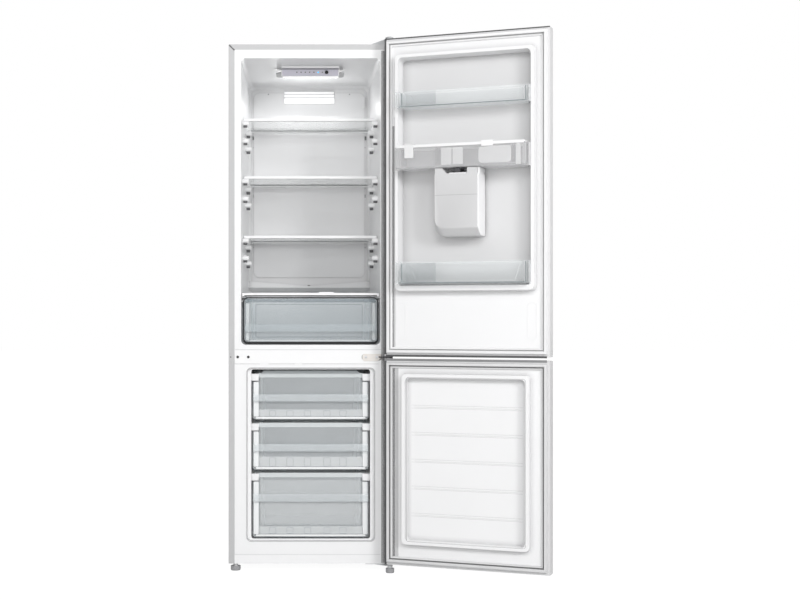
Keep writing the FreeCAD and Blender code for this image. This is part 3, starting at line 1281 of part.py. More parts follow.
def door_gasket(z0, z1):
    """The magnetic seal: a flat foot on the liner and a hollow-looking bulb that meets the cabinet."""
    inset = 8.0
    foot = door_block(inset, CABINET_WIDTH - inset, 0, 4, z0 + inset + 1, z1 - inset - 1)
    foot = foot.cut(door_block(inset + 20, CABINET_WIDTH - inset - 20, -1, 5, z0 + inset + 21, z1 - inset - 21))
    top = GASKET_HEIGHT - GASKET_GAP
    bulb = door_block(inset + 1, CABINET_WIDTH - inset - 1, 3, top, z0 + inset + 2, z1 - inset - 2)
    bulb = bulb.cut(door_block(inset + 14, CABINET_WIDTH - inset - 14, 2, top + 1, z0 + inset + 15, z1 - inset - 15))
    return joined([foot, bulb])


LOWER_GROOVES = (555.4, 466.7, 378.1, 289.4, 200.7)


def lower_door_ribs():
    """Five shallow bars across the freezer door's pan."""
    u0, u1, z0, z1 = lower_dike()
    return [door_profile([(-LOWER_PAN_DEPTH - 0.5, z + 2.5), (-LOWER_PAN_DEPTH + 1.2, z + 1.2),
                          (-LOWER_PAN_DEPTH + 1.2, z - 1.2), (-LOWER_PAN_DEPTH - 0.5, z - 2.5)], u0 + 42, u1 - 42)
            for z in LOWER_GROOVES]


def housing_profile(grow=0.0):
    """Side profile of the dispenser bulge inside the door, as (w, z) points."""
    g = grow
    f = HOUSING_FRONT
    return [(-PAN_DEPTH, HOUSING_TOP - g), (f - 4 - g, HOUSING_TOP - g), (f - g, HOUSING_CREASE),
            (f - 3 - g, HOUSING_CHAMFER + g), (f - 46 - g, HOUSING_FOOT + g), (-PAN_DEPTH, HOUSING_FOOT + g)]


def housing_solid(grow=0.0):
    """The bulge, with sides that draw in from the door's pan to its front."""
    body = door_profile(housing_profile(grow), HOUSING_LEFT + grow, HOUSING_RIGHT - grow)
    t = HOUSING_TAPER
    span = HOUSING_FRONT + PAN_DEPTH
    low = HOUSING_FOOT - 1
    plan = [(at(HOUSING_LEFT + grow), AXIS_TO_LINER - PAN_DEPTH - 1), (at(HOUSING_RIGHT - grow), AXIS_TO_LINER - PAN_DEPTH - 1),
            (at(HOUSING_RIGHT - grow - t), AXIS_TO_LINER - PAN_DEPTH + span), (at(HOUSING_LEFT + grow + t), AXIS_TO_LINER - PAN_DEPTH + span)]
    return body.common(profile_z(plan, low, HOUSING_TOP + 1))


def spout_bore(z0, z1):
    u = (HOUSING_LEFT + HOUSING_RIGHT) / 2
    return ribbed_knob(FOOT_SIDES, SPOUT_RADIUS + SPOUT_CLEARANCE, at(u), AXIS_TO_LINER + SPOUT_W, z0, z1)


SPOUT_W = 22.0
NICHE_MARGIN = 22.0
NICHE_FLANGE = 9.0
LEVER_PIVOT_W = 46.0
LEVER_PIVOT_DROP = 26.0
LEVER_LENGTH = 78.0
LEVER_HALF = 26.0
LEVER_PIN = 2.0


def dispenser_housing():
    """The white cover on the door's inside that closes off the dispenser recess."""
    shell = housing_solid().cut(housing_solid(HOUSING_WALL))
    return shell.cut(spout_bore(HOUSING_TOP - 10, HOUSING_TOP + 5))


def niche_bounds(grow=0.0):
    """(first u, last u, foot z, top z, depth w) of the recess that a glass goes into."""
    g = grow
    return (HOUSING_LEFT + NICHE_MARGIN - g, HOUSING_RIGHT - NICHE_MARGIN + g, HOUSING_CHAMFER + 12 - g,
            HOUSING_TOP - 16 + g, HOUSING_FRONT - 14 + g)


def niche_solid(grow=0.0):
    u0, u1, z0, z1, w = niche_bounds(grow)
    return door_plate(u0, u1, z0, z1, 12, -DOOR_THICKNESS, w)


def dispenser_niche():
    """The recess in the door's front: a drawn box with a flange flush with the skin."""
    u0, u1, z0, z1, w = niche_bounds()
    box = niche_solid(NICHE_WALL)
    f = NICHE_FLANGE
    flange = door_plate(u0 - f, u1 + f, z0 - f, z1 + f, 16, -DOOR_THICKNESS, -DOOR_THICKNESS + 2)
    niche = joined([box, flange]).cut(niche_solid())
    niche = niche.cut(spout_bore(z1 - 5, z1 + NICHE_WALL + 5))
    pivot_z = lever_pivot_z()
    y = AXIS_TO_LINER + LEVER_PIVOT_W
    lugs = []
    for u in (u0 + 4, u1 - 8):
        lugs.append(door_block(u - 6 if u < 250 else u - 2, u + 6 if u < 250 else u + 10, LEVER_PIVOT_W - 5, LEVER_PIVOT_W + 5,
                               pivot_z - 5, pivot_z + 5))
    lug_solids = [lug.common(niche_solid(0.5)) for lug in lugs]
    niche = joined([niche] + lug_solids)
    bore = LEVER_PIN + PIN_CLEARANCE
    return niche.cut(sided_bar(bore, (at(u1) - 3, y, pivot_z), (at(u0) + 3, y, pivot_z), 8))


def lever_pivot_z():
    return niche_bounds()[3] - LEVER_PIVOT_DROP


def dispenser_lever():
    """The paddle that a glass pushes back, on a pin across the recess."""
    u_mid = (HOUSING_LEFT + HOUSING_RIGHT) / 2
    u0, u1, z0, z1, w = niche_bounds()
    z = lever_pivot_z()
    y = AXIS_TO_LINER + LEVER_PIVOT_W
    pin = cross_rod(LEVER_PIN, y, z, at(u1 - 2), at(u0 + 2))
    hub = sided_bar(5.0, (at(u_mid + LEVER_HALF), y, z), (at(u_mid - LEVER_HALF), y, z), 8)
    w0 = LEVER_PIVOT_W
    paddle = door_profile([(w0 - 4.5, z), (w0 - 8, z - LEVER_LENGTH + 8), (w0 - 16, z - LEVER_LENGTH),
                           (w0 - 14, z - LEVER_LENGTH - 1.5), (w0 - 5, z - LEVER_LENGTH + 7), (w0 - 1.5, z)],
                          u_mid - LEVER_HALF, u_mid + LEVER_HALF)
    return joined([pin, hub, paddle])


def bin_side():
    """The u of a bin's first side: just inside the dike's inner wall where the dike meets the pan."""
    u0 = upper_dike()[0]
    return u0 + DIKE_SLOPE * (2 * UPPER_DIKE_HEIGHT + PAN_DEPTH) + UPPER_DIKE_WIDTH + BIN_SIDE_GAP


def hook_zone(z_top):
    """(low z, high z) of the nub on the dike that a bin hangs on."""
    return z_top - 34.0, z_top - 24.0


def nubs(z_top):
    """The pair of nubs on the dike's inner walls that a bin's or the tank's hooks sit on."""
    low, high = hook_zone(z_top)
    near = bin_side() - BIN_SIDE_GAP - 6
    reach = bin_side() + 2.5
    far = CABINET_WIDTH
    return [door_block(near, reach, 4, 18, low, high), door_block(far - reach, far - near, 4, 18, low, high)]


def hung_tray(z0, z1, front, ear_width, floor):
    """A clear tray between the dikes: a tub, ears that lap over the dikes' faces, hooks over the nubs."""
    u0 = bin_side()
    u1 = CABINET_WIDTH - u0
    back = -PAN_DEPTH + 4
    wall = BIN_WALL
    outer = door_block(u0, u1, back, front, z0, z1)
    lower_edges = [e for e in outer.Edges if abs(e.Vertexes[0].Y - e.Vertexes[1].Y) > 20
                   and e.Vertexes[0].Z < z0 + 1]
    outer = outer.makeFillet(BIN_CORNER, lower_edges)
    inner = door_block(u0 + wall + 5, u1 - wall - 5, back + wall, front - wall, z0 + floor, z1 + 1)
    low, high = hook_zone(z1)
    side_slots = []
    for a, b in ((u0 - 1, u0 + 5), (u1 - 5, u1 + 1)):
        side_slots.append(door_block(a, b, 2, 20, z0 - 1, high + SLIDE_GAP))
    tray = outer.cut([inner] + side_slots)
    w0 = UPPER_DIKE_HEIGHT + 2.5
    ear_front = min(front, BIN_FRONT)
    ears = [door_block(u0 - ear_width, u0 + 6, w0, ear_front, z0, z1),
            door_block(u1 - 6, u1 + ear_width, w0, ear_front, z0, z1)]
    keep_out = door_block(u0 + wall + 5, u1 - wall - 5, back + wall, front - wall, z0 + floor, z1 + 1)
    return joined([tray] + ears).cut(keep_out)


def ledge_top():
    return UPPER_DIKE_LEDGE + UPPER_LEDGE_WIDTH + DIKE_SLOPE * (2 * UPPER_DIKE_HEIGHT + PAN_DEPTH)


def door_bin(z0, z1):
    return hung_tray(z0, z1, BIN_FRONT, BIN_EAR, BIN_WALL)


def water_tank():
    tank = hung_tray(TANK_FOOT, TANK_TOP, TANK_FRONT, BIN_EAR, BIN_WALL)
    u = (HOUSING_LEFT + HOUSING_RIGHT) / 2
    return tank.cut(ribbed_knob(FOOT_SIDES, SPOUT_RADIUS - 2, at(u), AXIS_TO_LINER + SPOUT_W, TANK_FOOT - 1,
                                TANK_FOOT + BIN_WALL + 1))


def tank_lid():
    """The lid with its rim, a fill hatch bar and two latches that clip down over the tank's front."""
    u0 = bin_side()
    u1 = CABINET_WIDTH - u0
    back = -PAN_DEPTH + 4
    plate = door_block(u0, u1, back, TANK_FRONT + 2, TANK_TOP + 0.2, TANK_TOP + TANK_LID)
    edges = [e for e in plate.Edges if abs(e.Vertexes[0].Z - e.Vertexes[1].Z) > 2]
    plate = plate.makeChamfer(4, edges)
    skirt = door_block(u0 + 10, u1 - 10, back + BIN_WALL + 1.5, TANK_FRONT - BIN_WALL - 0.4, TANK_TOP - 6, TANK_TOP + 1)
    skirt = skirt.cut(door_block(u0 + 13, u1 - 13, back + BIN_WALL + 4.5, TANK_FRONT - BIN_WALL - 3, TANK_TOP - 7, TANK_TOP + 1))
    latches = []
    for centre, half, drop in ((u0 + 45, 15, 38), (u1 - 120, 19, 10)):
        latches.append(door_block(centre - half, centre + half, TANK_FRONT + 0.3, TANK_FRONT + 3.5,
                                  TANK_TOP - drop, TANK_TOP + 2))
        latches.append(door_block(centre - half, centre + half, TANK_FRONT - 12, TANK_FRONT + 3.5,
                                  TANK_TOP + 2, TANK_TOP + TANK_LID + 4))
    hatch = door_block(u1 - 60, u1 - 20, 8, 50, TANK_TOP + 2, TANK_TOP + TANK_LID + 2)
    return joined([plate, skirt, hatch] + latches)


def dispenser_valve():
    """The drip-free valve under the tank: a threaded collar, a body and the spout into the recess."""
    u = (HOUSING_LEFT + HOUSING_RIGHT) / 2
    r = VALVE_RADIUS
    s = SPOUT_RADIUS
    low = niche_bounds()[3] - 12
    y = AXIS_TO_LINER + SPOUT_W
    collar = ribbed_knob(FOOT_SIDES, r, at(u), y, TANK_FOOT - 9, TANK_FOOT)
    spout = ribbed_knob(FOOT_SIDES, s, at(u), y, low, TANK_FOOT - 1)
    return joined([collar, spout]).cut(ribbed_knob(FOOT_SIDES, s - 2.5, at(u), y, low - 1, TANK_FOOT + 1))


def upper_door():
    z0, z1 = UPPER_DOOR
    liner, deep, hollow = door_liner(z0, z1, upper_dike(), UPPER_DIKE_HEIGHT, UPPER_DIKE_WIDTH,
                                     UPPER_LEDGE_WIDTH, PAN_DEPTH)
    u0, u1, n0, n1, w = niche_bounds(NICHE_WALL)
    window = niche_solid(NICHE_WALL)
    liner = liner.cut(window)
    for z_top in (UPPER_BIN_TOP, TANK_TOP, LOWER_BIN_TOP):
        for nub in nubs(z_top):
            liner = liner.fuse(nub.cut(hollow_zone_guard()))
    skin = door_skin(z0, z1, z0, z0 + GRIP_HEIGHT)
    f = NICHE_FLANGE
    a0, a1, b0, b1, w = niche_bounds()
    plate = door_plate(a0 - f, a1 + f, b0 - f, b1 + f, 16, -DOOR_THICKNESS - 1, -DOOR_THICKNESS + 2)
    skin = skin.cut(plate)
    pan_block = block(deep.BoundBox.XMin, deep.BoundBox.XMax, AXIS_TO_LINER - PAN_DEPTH - DOOR_LINER,
                      AXIS_TO_LINER, deep.BoundBox.ZMin, deep.BoundBox.ZMax)
    foam = door_foam(z0, z1, deep, False, [window, plate])
    return {
        "upper_door_skin": skin,
        "upper_door_liner": liner.removeSplitter(),
        "upper_door_foam": foam,
        "upper_door_caps": door_caps(z0, z1, False, z0 - ARM_TOP - COLLAR_GAP, 1.5 - COLLAR_GAP),
        "upper_door_gasket": door_gasket(z0, z1),
        "dispenser_housing": dispenser_housing(),
        "dispenser_niche": dispenser_niche(),
    }


def hollow_zone_guard():
    """Nothing of a nub shows beyond the dike's outer face."""
    return door_block(-1, upper_dike()[0] + 6, -5, 40, CABINET_BASE, CABINET_TOP)


def lower_door():
    z0, z1 = LOWER_DOOR
    liner, deep, hollow = door_liner(z0, z1, lower_dike(), LOWER_DIKE_HEIGHT, LOWER_DIKE_WIDTH,
                                     LOWER_DIKE_WIDTH, LOWER_PAN_DEPTH)
    for rib in lower_door_ribs():
        liner = liner.fuse(rib)
    return {
        "lower_door_skin": door_skin(z0, z1, z1 - GRIP_HEIGHT, z1),
        "lower_door_liner": liner.removeSplitter(),
        "lower_door_foam": door_foam(z0, z1, deep, True, []),
        "lower_door_caps": door_caps(z0, z1, True, LOWER_DOOR_RISE - COLLAR_GAP, ARM_BOTTOM - z1 - COLLAR_GAP),
        "lower_door_gasket": door_gasket(z0, z1),
    }


# ---------------------------------------------------------------- the whole refrigerator

def cabinet_pieces():
    shell = outer_shell()
    pan = base_pan(shell)
    return {
        "outer_shell": shell,
        "back_panel": back_panel(),
        "base_pan": pan,
        "mid_beam": mid_beam(),
        "fridge_liner": fridge_liner(),
        "freezer_liner": freezer_liner(),
        "insulation_foam": insulation_foam(shell, pan),
        "evaporator_plates": evaporator_plates(),
        "drain_tube": drain_tube(),
        "compressor_carrier": compressor_carrier(),
        "compressor": compressor(),
        "compressor_mounts": compressor_mounts(),
        "evaporation_tray": evaporation_tray(),
        "terminal_box": terminal_box(),
        "refrigerant_pipes": refrigerant_pipes(),
        "top_hinge": top_hinge(),
        "top_hinge_cover": top_hinge_cover(),
        "middle_hinge": middle_hinge(),
        "bottom_hinge": bottom_hinge(),
        "hinge_screws": hinge_screws(),
        "control_housing": control_housing(),
        "control_fascia": control_fascia(),
        "indicator_lights": indicator_lights(),
        "air_outlet_grille": air_outlet_grille(),
        "crisper_cover": crisper_cover(),
        "crisper_cover_trim": crisper_cover_trim(),
    }


def moving_pieces():
    left_x, left_y = left_foot_centre()
    rollers = roller_places()
    pieces = {
        "front_foot_right": levelling_foot(0, 0, RIGHT_FOOT_RADIUS, CABINET_BASE - HINGE_PLATE - 1),
        "front_foot_left": levelling_foot(left_x, left_y, LEFT_FOOT_RADIUS, CABINET_BASE - 1.5),
        "rear_roller_left": rear_roller(rollers[0]),
        "rear_roller_right": rear_roller(rollers[1]),
        "control_button": control_button(),
        "crisper_drawer": crisper_drawer(),
        "crisper_outline": crisper_outline(),
    }
    for name, level in zip(SHELF_NAMES, SHELF_LEVELS):
        pieces["shelf_glass_" + name] = shelf_glass(level)
        pieces["shelf_trims_" + name] = shelf_trims(level)
    for index, name in enumerate(DRAWER_NAMES):
        pieces["freezer_drawer_" + name] = freezer_drawer(index)
    return pieces


def door_pieces():
    pieces = {}
    pieces.update(upper_door())
    pieces.update(lower_door())
    pieces["door_bin_upper"] = door_bin(UPPER_BIN_FOOT, UPPER_BIN_TOP)
    pieces["door_bin_lower"] = door_bin(ledge_top() + 0.5, LOWER_BIN_TOP)
    pieces["water_tank"] = water_tank()
    pieces["tank_lid"] = tank_lid()
    pieces["dispenser_valve"] = dispenser_valve()
    pieces["dispenser_lever"] = dispenser_lever()
    return {name: swung(shape) for name, shape in pieces.items()}


os.makedirs("parts", exist_ok=True)
for group in (cabinet_pieces, moving_pieces, door_pieces):
    for node, shape in group().items():
        shape.exportStep("parts/" + node + ".step")
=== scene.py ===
import json
import math

import bmesh
import bpy
from mathutils import Matrix, Vector

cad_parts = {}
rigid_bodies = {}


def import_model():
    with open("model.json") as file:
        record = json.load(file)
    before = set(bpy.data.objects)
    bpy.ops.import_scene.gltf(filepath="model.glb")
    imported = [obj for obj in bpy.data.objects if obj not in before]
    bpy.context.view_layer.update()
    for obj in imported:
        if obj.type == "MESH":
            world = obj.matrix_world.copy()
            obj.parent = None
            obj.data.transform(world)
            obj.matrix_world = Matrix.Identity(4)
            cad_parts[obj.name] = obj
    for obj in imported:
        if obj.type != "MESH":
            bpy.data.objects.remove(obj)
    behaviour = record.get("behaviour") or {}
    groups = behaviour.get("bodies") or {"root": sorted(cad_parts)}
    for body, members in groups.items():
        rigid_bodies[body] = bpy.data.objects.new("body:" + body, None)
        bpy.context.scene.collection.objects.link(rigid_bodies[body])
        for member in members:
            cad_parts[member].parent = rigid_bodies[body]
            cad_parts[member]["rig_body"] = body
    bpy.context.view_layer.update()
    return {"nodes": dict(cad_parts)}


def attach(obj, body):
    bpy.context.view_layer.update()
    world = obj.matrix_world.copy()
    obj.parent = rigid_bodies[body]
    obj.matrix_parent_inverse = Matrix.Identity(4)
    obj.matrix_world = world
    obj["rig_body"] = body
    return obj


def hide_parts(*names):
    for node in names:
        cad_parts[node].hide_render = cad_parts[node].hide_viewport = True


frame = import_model()


# The studio and the camera. The floor is a pale sheet that carries on to the horizon; a wide softbox
# stands in front on either side and one hangs overhead. The camera is level and looks straight at the
# cabinet, and its shift gives the photograph's framing.
scene = bpy.context.scene
scene.view_settings.view_transform = "Standard"
view = bpy.data.cameras.new("camera")
view.lens = 61.84
view.sensor_width = 36.0
view.shift_x = 0.13375
view.shift_y = 0.0214
view.clip_end = 100.0
camera = bpy.data.objects.new("camera", view)
camera.location = (-0.32225, -4.567, 0.849)
camera.rotation_euler = (math.radians(90), 0, 0)
scene.collection.objects.link(camera)
scene.camera = camera


class Tone:
    """A value that varies over a surface. Arithmetic on it adds the Math nodes that work it out."""

    def __init__(self, finish, socket):
        self.finish = finish
        self.socket = socket

    def worked(self, operation, first, second):
        return self.finish.add("ShaderNodeMath", {"operation": operation}, {0: first, 1: second})

    def __add__(self, other):
        return self.worked("ADD", self, other)

    def __radd__(self, other):
        return self.worked("ADD", other, self)

    def __sub__(self, other):
        return self.worked("SUBTRACT", self, other)

    def __rsub__(self, other):
        return self.worked("SUBTRACT", other, self)

    def __mul__(self, other):
        return self.worked("MULTIPLY", self, other)

    def __rmul__(self, other):
        return self.worked("MULTIPLY", other, self)

    def __pow__(self, other):
        return self.worked("POWER", self, other)


class Finish:
    """A surface's material. What is the same all over is set on its shader; what varies is linked to it."""

    def __init__(self, name, constants):
        self.material = bpy.data.materials.new(name)
        self.material.use_nodes = True
        self.tree = self.material.node_tree
        self.tree.nodes.clear()
        self.shader = self.tree.nodes.new("ShaderNodeBsdfPrincipled")
        ending = self.tree.nodes.new("ShaderNodeOutputMaterial")
        self.tree.links.new(self.shader.outputs["BSDF"], ending.inputs["Surface"])
        self.set(constants)

    def set(self, values):
        for name, value in values.items():
            socket = self.shader.inputs[name]
            if isinstance(value, Tone):
                self.tree.links.new(value.socket, socket)
            elif isinstance(value, tuple) and len(value) == 3:
                socket.default_value = (*value, 1.0)
            else:
                socket.default_value = value

    def add(self, kind, settings=None, inputs=None, output=0):
        """Any node: its settings are set first, then its sockets' values or links."""
        node = self.tree.nodes.new(kind)
        for name, value in (settings or {}).items():
            setattr(node, name, value)
        for key, value in (inputs or {}).items():
            if isinstance(value, Tone):
                self.tree.links.new(value.socket, node.inputs[key])
            else:
                node.inputs[key].default_value = value
        return Tone(self, node.outputs[output])

    def grain(self, scale, detail=3.0, stretch=(1.0, 1.0, 1.0)):
        """Noise in the piece's own coordinates, from 0 to 1."""
        place = self.add("ShaderNodeTexCoord", output="Object")
        if stretch != (1.0, 1.0, 1.0):
            place = self.add("ShaderNodeMapping", inputs={"Vector": place, "Scale": stretch})
        return self.add("ShaderNodeTexNoise", inputs={"Vector": place, "Scale": scale, "Detail": detail})

    def mixed(self, share, first, second):
        """A colour between two, by a share from 0 to 1."""
        return self.add("ShaderNodeMix", {"data_type": "RGBA"},
                        {0: share, 6: (*first, 1.0), 7: (*second, 1.0)}, 2)

    def rough_to(self, height, depth):
        """Raises the surface by a height pattern; depth is in metres."""
        self.set({"Normal": self.add("ShaderNodeBump", inputs={"Height": height, "Distance": depth},
                                     output="Normal")})

    def facing(self, blend):
        """0 where the surface is seen square on, rising to 1 where it is seen along its edge."""
        return self.add("ShaderNodeLayerWeight", inputs={"Blend": blend}, output="Facing")


FLOOR_GLOW = 1.12
GLOW_SHARE = 0.86
WORLD_LIGHT = 0.56


def studio_floor():
    """A pale sheet. The camera sees it glow, so that it runs on into the horizon."""
    mesh = bpy.data.meshes.new("floor")
    reach = 30.0
    mesh.from_pydata([(-reach, -reach, 0), (reach, -reach, 0), (reach, reach, 0), (-reach, reach, 0)], [],
                     [(0, 1, 2, 3)])
    floor = bpy.data.objects.new("floor", mesh)
    scene.collection.objects.link(floor)
    paper = Finish("studio_paper", {"Roughness": 0.9})
    mottle = paper.grain(3.0)
    paper.set({"Base Color": paper.mixed(mottle, (0.78, 0.78, 0.78), (0.82, 0.82, 0.82))})
    paper.rough_to(paper.grain(220.0), 0.0004)
    rays = paper.tree.nodes.new("ShaderNodeLightPath")
    seen = Tone(paper, rays.outputs["Is Camera Ray"]) + Tone(paper, rays.outputs["Is Transmission Ray"])
    glow = paper.tree.nodes.new("ShaderNodeEmission")
    glow.inputs["Strength"].default_value = FLOOR_GLOW
    blend = paper.tree.nodes.new("ShaderNodeMixShader")
    paper.tree.links.new((seen * GLOW_SHARE).socket, blend.inputs[0])
    paper.tree.links.new(paper.shader.outputs[0], blend.inputs[1])
    paper.tree.links.new(glow.outputs[0], blend.inputs[2])
    ending = [n for n in paper.tree.nodes if n.type == "OUTPUT_MATERIAL"][0]
    paper.tree.links.new(blend.outputs[0], ending.inputs["Surface"])
    mesh.materials.append(paper.material)


def studio_world():
    """White to the camera and in reflections, and dimmer where it lights a surface."""
    world = bpy.data.worlds.new("studio")
    scene.world = world
    world.use_nodes = True
    tree = world.node_tree
    sky = tree.nodes["Background"]
    sky.inputs["Color"].default_value = (1, 1, 1, 1)
    rays = tree.nodes.new("ShaderNodeLightPath")
    highest = None
    for name in ("Is Camera Ray", "Is Glossy Ray", "Is Transmission Ray"):
        if highest is None:
            highest = rays.outputs[name]
            continue
        either = tree.nodes.new("ShaderNodeMath")
        either.operation = "MAXIMUM"
        tree.links.new(highest, either.inputs[0])
        tree.links.new(rays.outputs[name], either.inputs[1])
        highest = either.outputs[0]
    level = tree.nodes.new("ShaderNodeMapRange")
    level.inputs["To Min"].default_value = WORLD_LIGHT
    level.inputs["To Max"].default_value = 1.0
    tree.links.new(highest, level.inputs["Value"])
    tree.links.new(level.outputs[0], sky.inputs["Strength"])


def softbox(name, place, target, size, watts):
    """A square lamp in the studio, aimed at a target."""
    light = bpy.data.lights.new(name, "AREA")
    light.shape = "SQUARE"
    light.size = size
    light.energy = watts
    lamp = bpy.data.objects.new(name, light)
    lamp.location = place
    lamp.rotation_euler = (Vector(target) - Vector(place)).to_track_quat("-Z", "Y").to_euler()
    scene.collection.objects.link(lamp)


studio_floor()
studio_world()
softbox("softbox_high", (-0.3, -5.2, 3.7), (-0.25, 0.3, 0.8), 1.5, 78.0)
softbox("softbox_left", (-1.9, -4.9, 1.4), (-0.2, 0.0, 0.9), 1.2, 24.0)
softbox("softbox_right", (2.7, -4.2, 2.5), (-0.2, 0.1, 0.9), 1.3, 100.0)


# The cabinet's outside: two sides and a roof bent from one painted steel sheet, with a flange turned in
# round the front and mitred at the corners. A plain zinc-coated panel is screwed on behind. Outlines and
# points are given in millimetres; the widths of rounded edges and tests on meshes are in metres.
JOIN = 0.00002
FLAT = math.radians(0.6)
SOFT_EDGE = math.radians(34)
INTO_FLANGE = 33.1
node_body = {name: piece["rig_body"] for name, piece in frame["nodes"].items()}


def finished(piece, *finishes):
    """Gives a piece its materials, in the order of its slots."""
    piece.data.materials.clear()
    for finish in finishes:
        piece.data.materials.append(finish.material)
    return piece


def dress(node, finish):
    """A CAD piece whose form is right gets its real finish."""
    return finished(frame["nodes"][node], finish)


def made(name, mesh):
    """A new piece in the scene."""
    piece = bpy.data.objects.new(name, mesh)
    scene.collection.objects.link(piece)
    return piece


def fixed(piece, body, nodes=()):
    """Says what a new piece rides on and which CAD pieces it stands for."""
    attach(piece, body)
    if nodes:
        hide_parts(*nodes)
    return piece


def plain_mesh(piece):
    """The piece's mesh with its modifiers worked in and removed."""
    graph = bpy.context.evaluated_depsgraph_get()
    mesh = bpy.data.meshes.new_from_object(piece.evaluated_get(graph))
    piece.modifiers.clear()
    piece.data = mesh
    return mesh


def round_edges(piece, width, steps, over):
    """Rounds the edges that are sharper than an angle."""
    rounding = piece.modifiers.new("edges", "BEVEL")
    rounding.width = width
    rounding.segments = steps
    rounding.limit_method = "ANGLE"
    rounding.angle_limit = over


def eased(node, slot, width=0.0, steps=2, *finishes):
    """A copy of a CAD piece, its triangles joined and its edges rounded as a mould or a press leaves them."""
    work = bmesh.new()
    work.from_mesh(frame["nodes"][node].data)
    bmesh.ops.remove_doubles(work, verts=work.verts, dist=JOIN)
    if node == "fridge_liner":
        bmesh.ops.join_triangles(work, faces=work.faces, angle_face_threshold=FLAT,
                                 angle_shape_threshold=math.pi)
    else:
        bmesh.ops.dissolve_limit(work, angle_limit=FLAT, verts=work.verts, edges=work.edges)
    mesh = bpy.data.meshes.new(node + "_form")
    work.to_mesh(mesh)
    work.free()
    mesh.shade_smooth()
    piece = made(node + "_form", mesh)
    if width:
        round_edges(piece, width, steps, SOFT_EDGE)
    even = piece.modifiers.new("even", "WEIGHTED_NORMAL")
    even.keep_sharp = True
    mesh.set_sharp_from_angle(angle=math.radians(60) if width else SOFT_EDGE)
    plain_mesh(piece)
    finished(piece, *finishes)
    return fixed(piece, node_body[node], (node,))


def in_cabinet(x, depth, z):
    """A point that is given in millimetres in the room's own axes."""
    return Vector((x, depth, z)) / 1000


def oblong(a0, b0, a1, b1):
    return [(a0, b0), (a1, b0), (a1, b1), (a0, b1)]


def rounded(a0, b0, a1, b1, radius, steps=5):
    """An oblong with round corners."""
    outline = []
    for centre_a, centre_b, start in ((a1 - radius, b0 + radius, -90), (a1 - radius, b1 - radius, 0),
                                      (a0 + radius, b1 - radius, 90), (a0 + radius, b0 + radius, 180)):
        for i in range(steps + 1):
            angle = math.radians(start + 90 * i / steps)
            outline.append((centre_a + radius * math.cos(angle), centre_b + radius * math.sin(angle)))
    return outline


def disc(a, b, radius, sides=16):
    return [(a + radius * math.cos(2 * math.pi * i / sides), b + radius * math.sin(2 * math.pi * i / sides))
            for i in range(sides)]


def plates(name, shapes, finish, body, place=in_cabinet, edge=0.0003, nodes=()):
    """Flat pieces in one mesh. Each is (outline seen from the front, depth from, depth to) in millimetres,
    and may end in a second outline, which is then the hole through it."""
    work = bmesh.new()
    for shape in shapes:
        outline, near, far = shape[:3]
        front = [work.verts.new(place(a, near, b)) for a, b in outline]
        back = [work.verts.new(place(a, far, b)) for a, b in outline]
        count = len(outline)
        turn = [(i, (i + 1) % count) for i in range(count)]
        for i, j in turn:
            work.faces.new((front[i], front[j], back[j], back[i]))
        if len(shape) == 3:
            work.faces.new(front)
            work.faces.new(back)
            continue
        hole_front = [work.verts.new(place(a, near, b)) for a, b in shape[3]]
        hole_back = [work.verts.new(place(a, far, b)) for a, b in shape[3]]
        for i, j in turn:
            work.faces.new((hole_front[i], hole_front[j], hole_back[j], hole_back[i]))
            work.faces.new((front[i], front[j], hole_front[j], hole_front[i]))
            work.faces.new((back[i], back[j], hole_back[j], hole_back[i]))
    bmesh.ops.recalc_face_normals(work, faces=work.faces)
    mesh = bpy.data.meshes.new(name)
    work.to_mesh(mesh)
    work.free()
    mesh.shade_smooth()
    piece = made(name, mesh)
    round_edges(piece, edge, steps=2, over=math.radians(40))
    mesh.set_sharp_from_angle(angle=math.radians(50))
    plain_mesh(piece)
    finished(piece, finish)
    return fixed(piece, body, nodes)


def stud_tree(name, axis_turn, finish):
    """Turned studs, one standing on each point it is given, with their length along one axis."""
    tree = bpy.data.node_groups.new(name, "GeometryNodeTree")
    tree.interface.new_socket("Geometry", in_out="INPUT", socket_type="NodeSocketGeometry")
    for label, kind in (("Radius", "NodeSocketFloat"), ("Length", "NodeSocketFloat"), ("Sides", "NodeSocketInt")):
        tree.interface.new_socket(label, in_out="INPUT", socket_type=kind)
    tree.interface.new_socket("Geometry", in_out="OUTPUT", socket_type="NodeSocketGeometry")
    given = tree.nodes.new("NodeGroupInput")
    result = tree.nodes.new("NodeGroupOutput")
    stud = tree.nodes.new("GeometryNodeMeshCylinder")
    stand = tree.nodes.new("GeometryNodeInstanceOnPoints")
    stand.inputs["Rotation"].default_value = axis_turn
    real = tree.nodes.new("GeometryNodeRealizeInstances")
    painted = tree.nodes.new("GeometryNodeSetMaterial")
    painted.inputs["Material"].default_value = finish.material
    for start, end in ((given.outputs["Geometry"], stand.inputs["Points"]),
                       (given.outputs["Radius"], stud.inputs["Radius"]),
                       (given.outputs["Length"], stud.inputs["Depth"]),
                       (given.outputs["Sides"], stud.inputs["Vertices"]),
                       (stud.outputs["Mesh"], stand.inputs["Instance"]),
                       (stand.outputs["Instances"], real.inputs["Geometry"]),
                       (real.outputs["Geometry"], painted.inputs["Geometry"]),
                       (painted.outputs["Geometry"], result.inputs["Geometry"])):
        tree.links.new(start, end)
    return tree


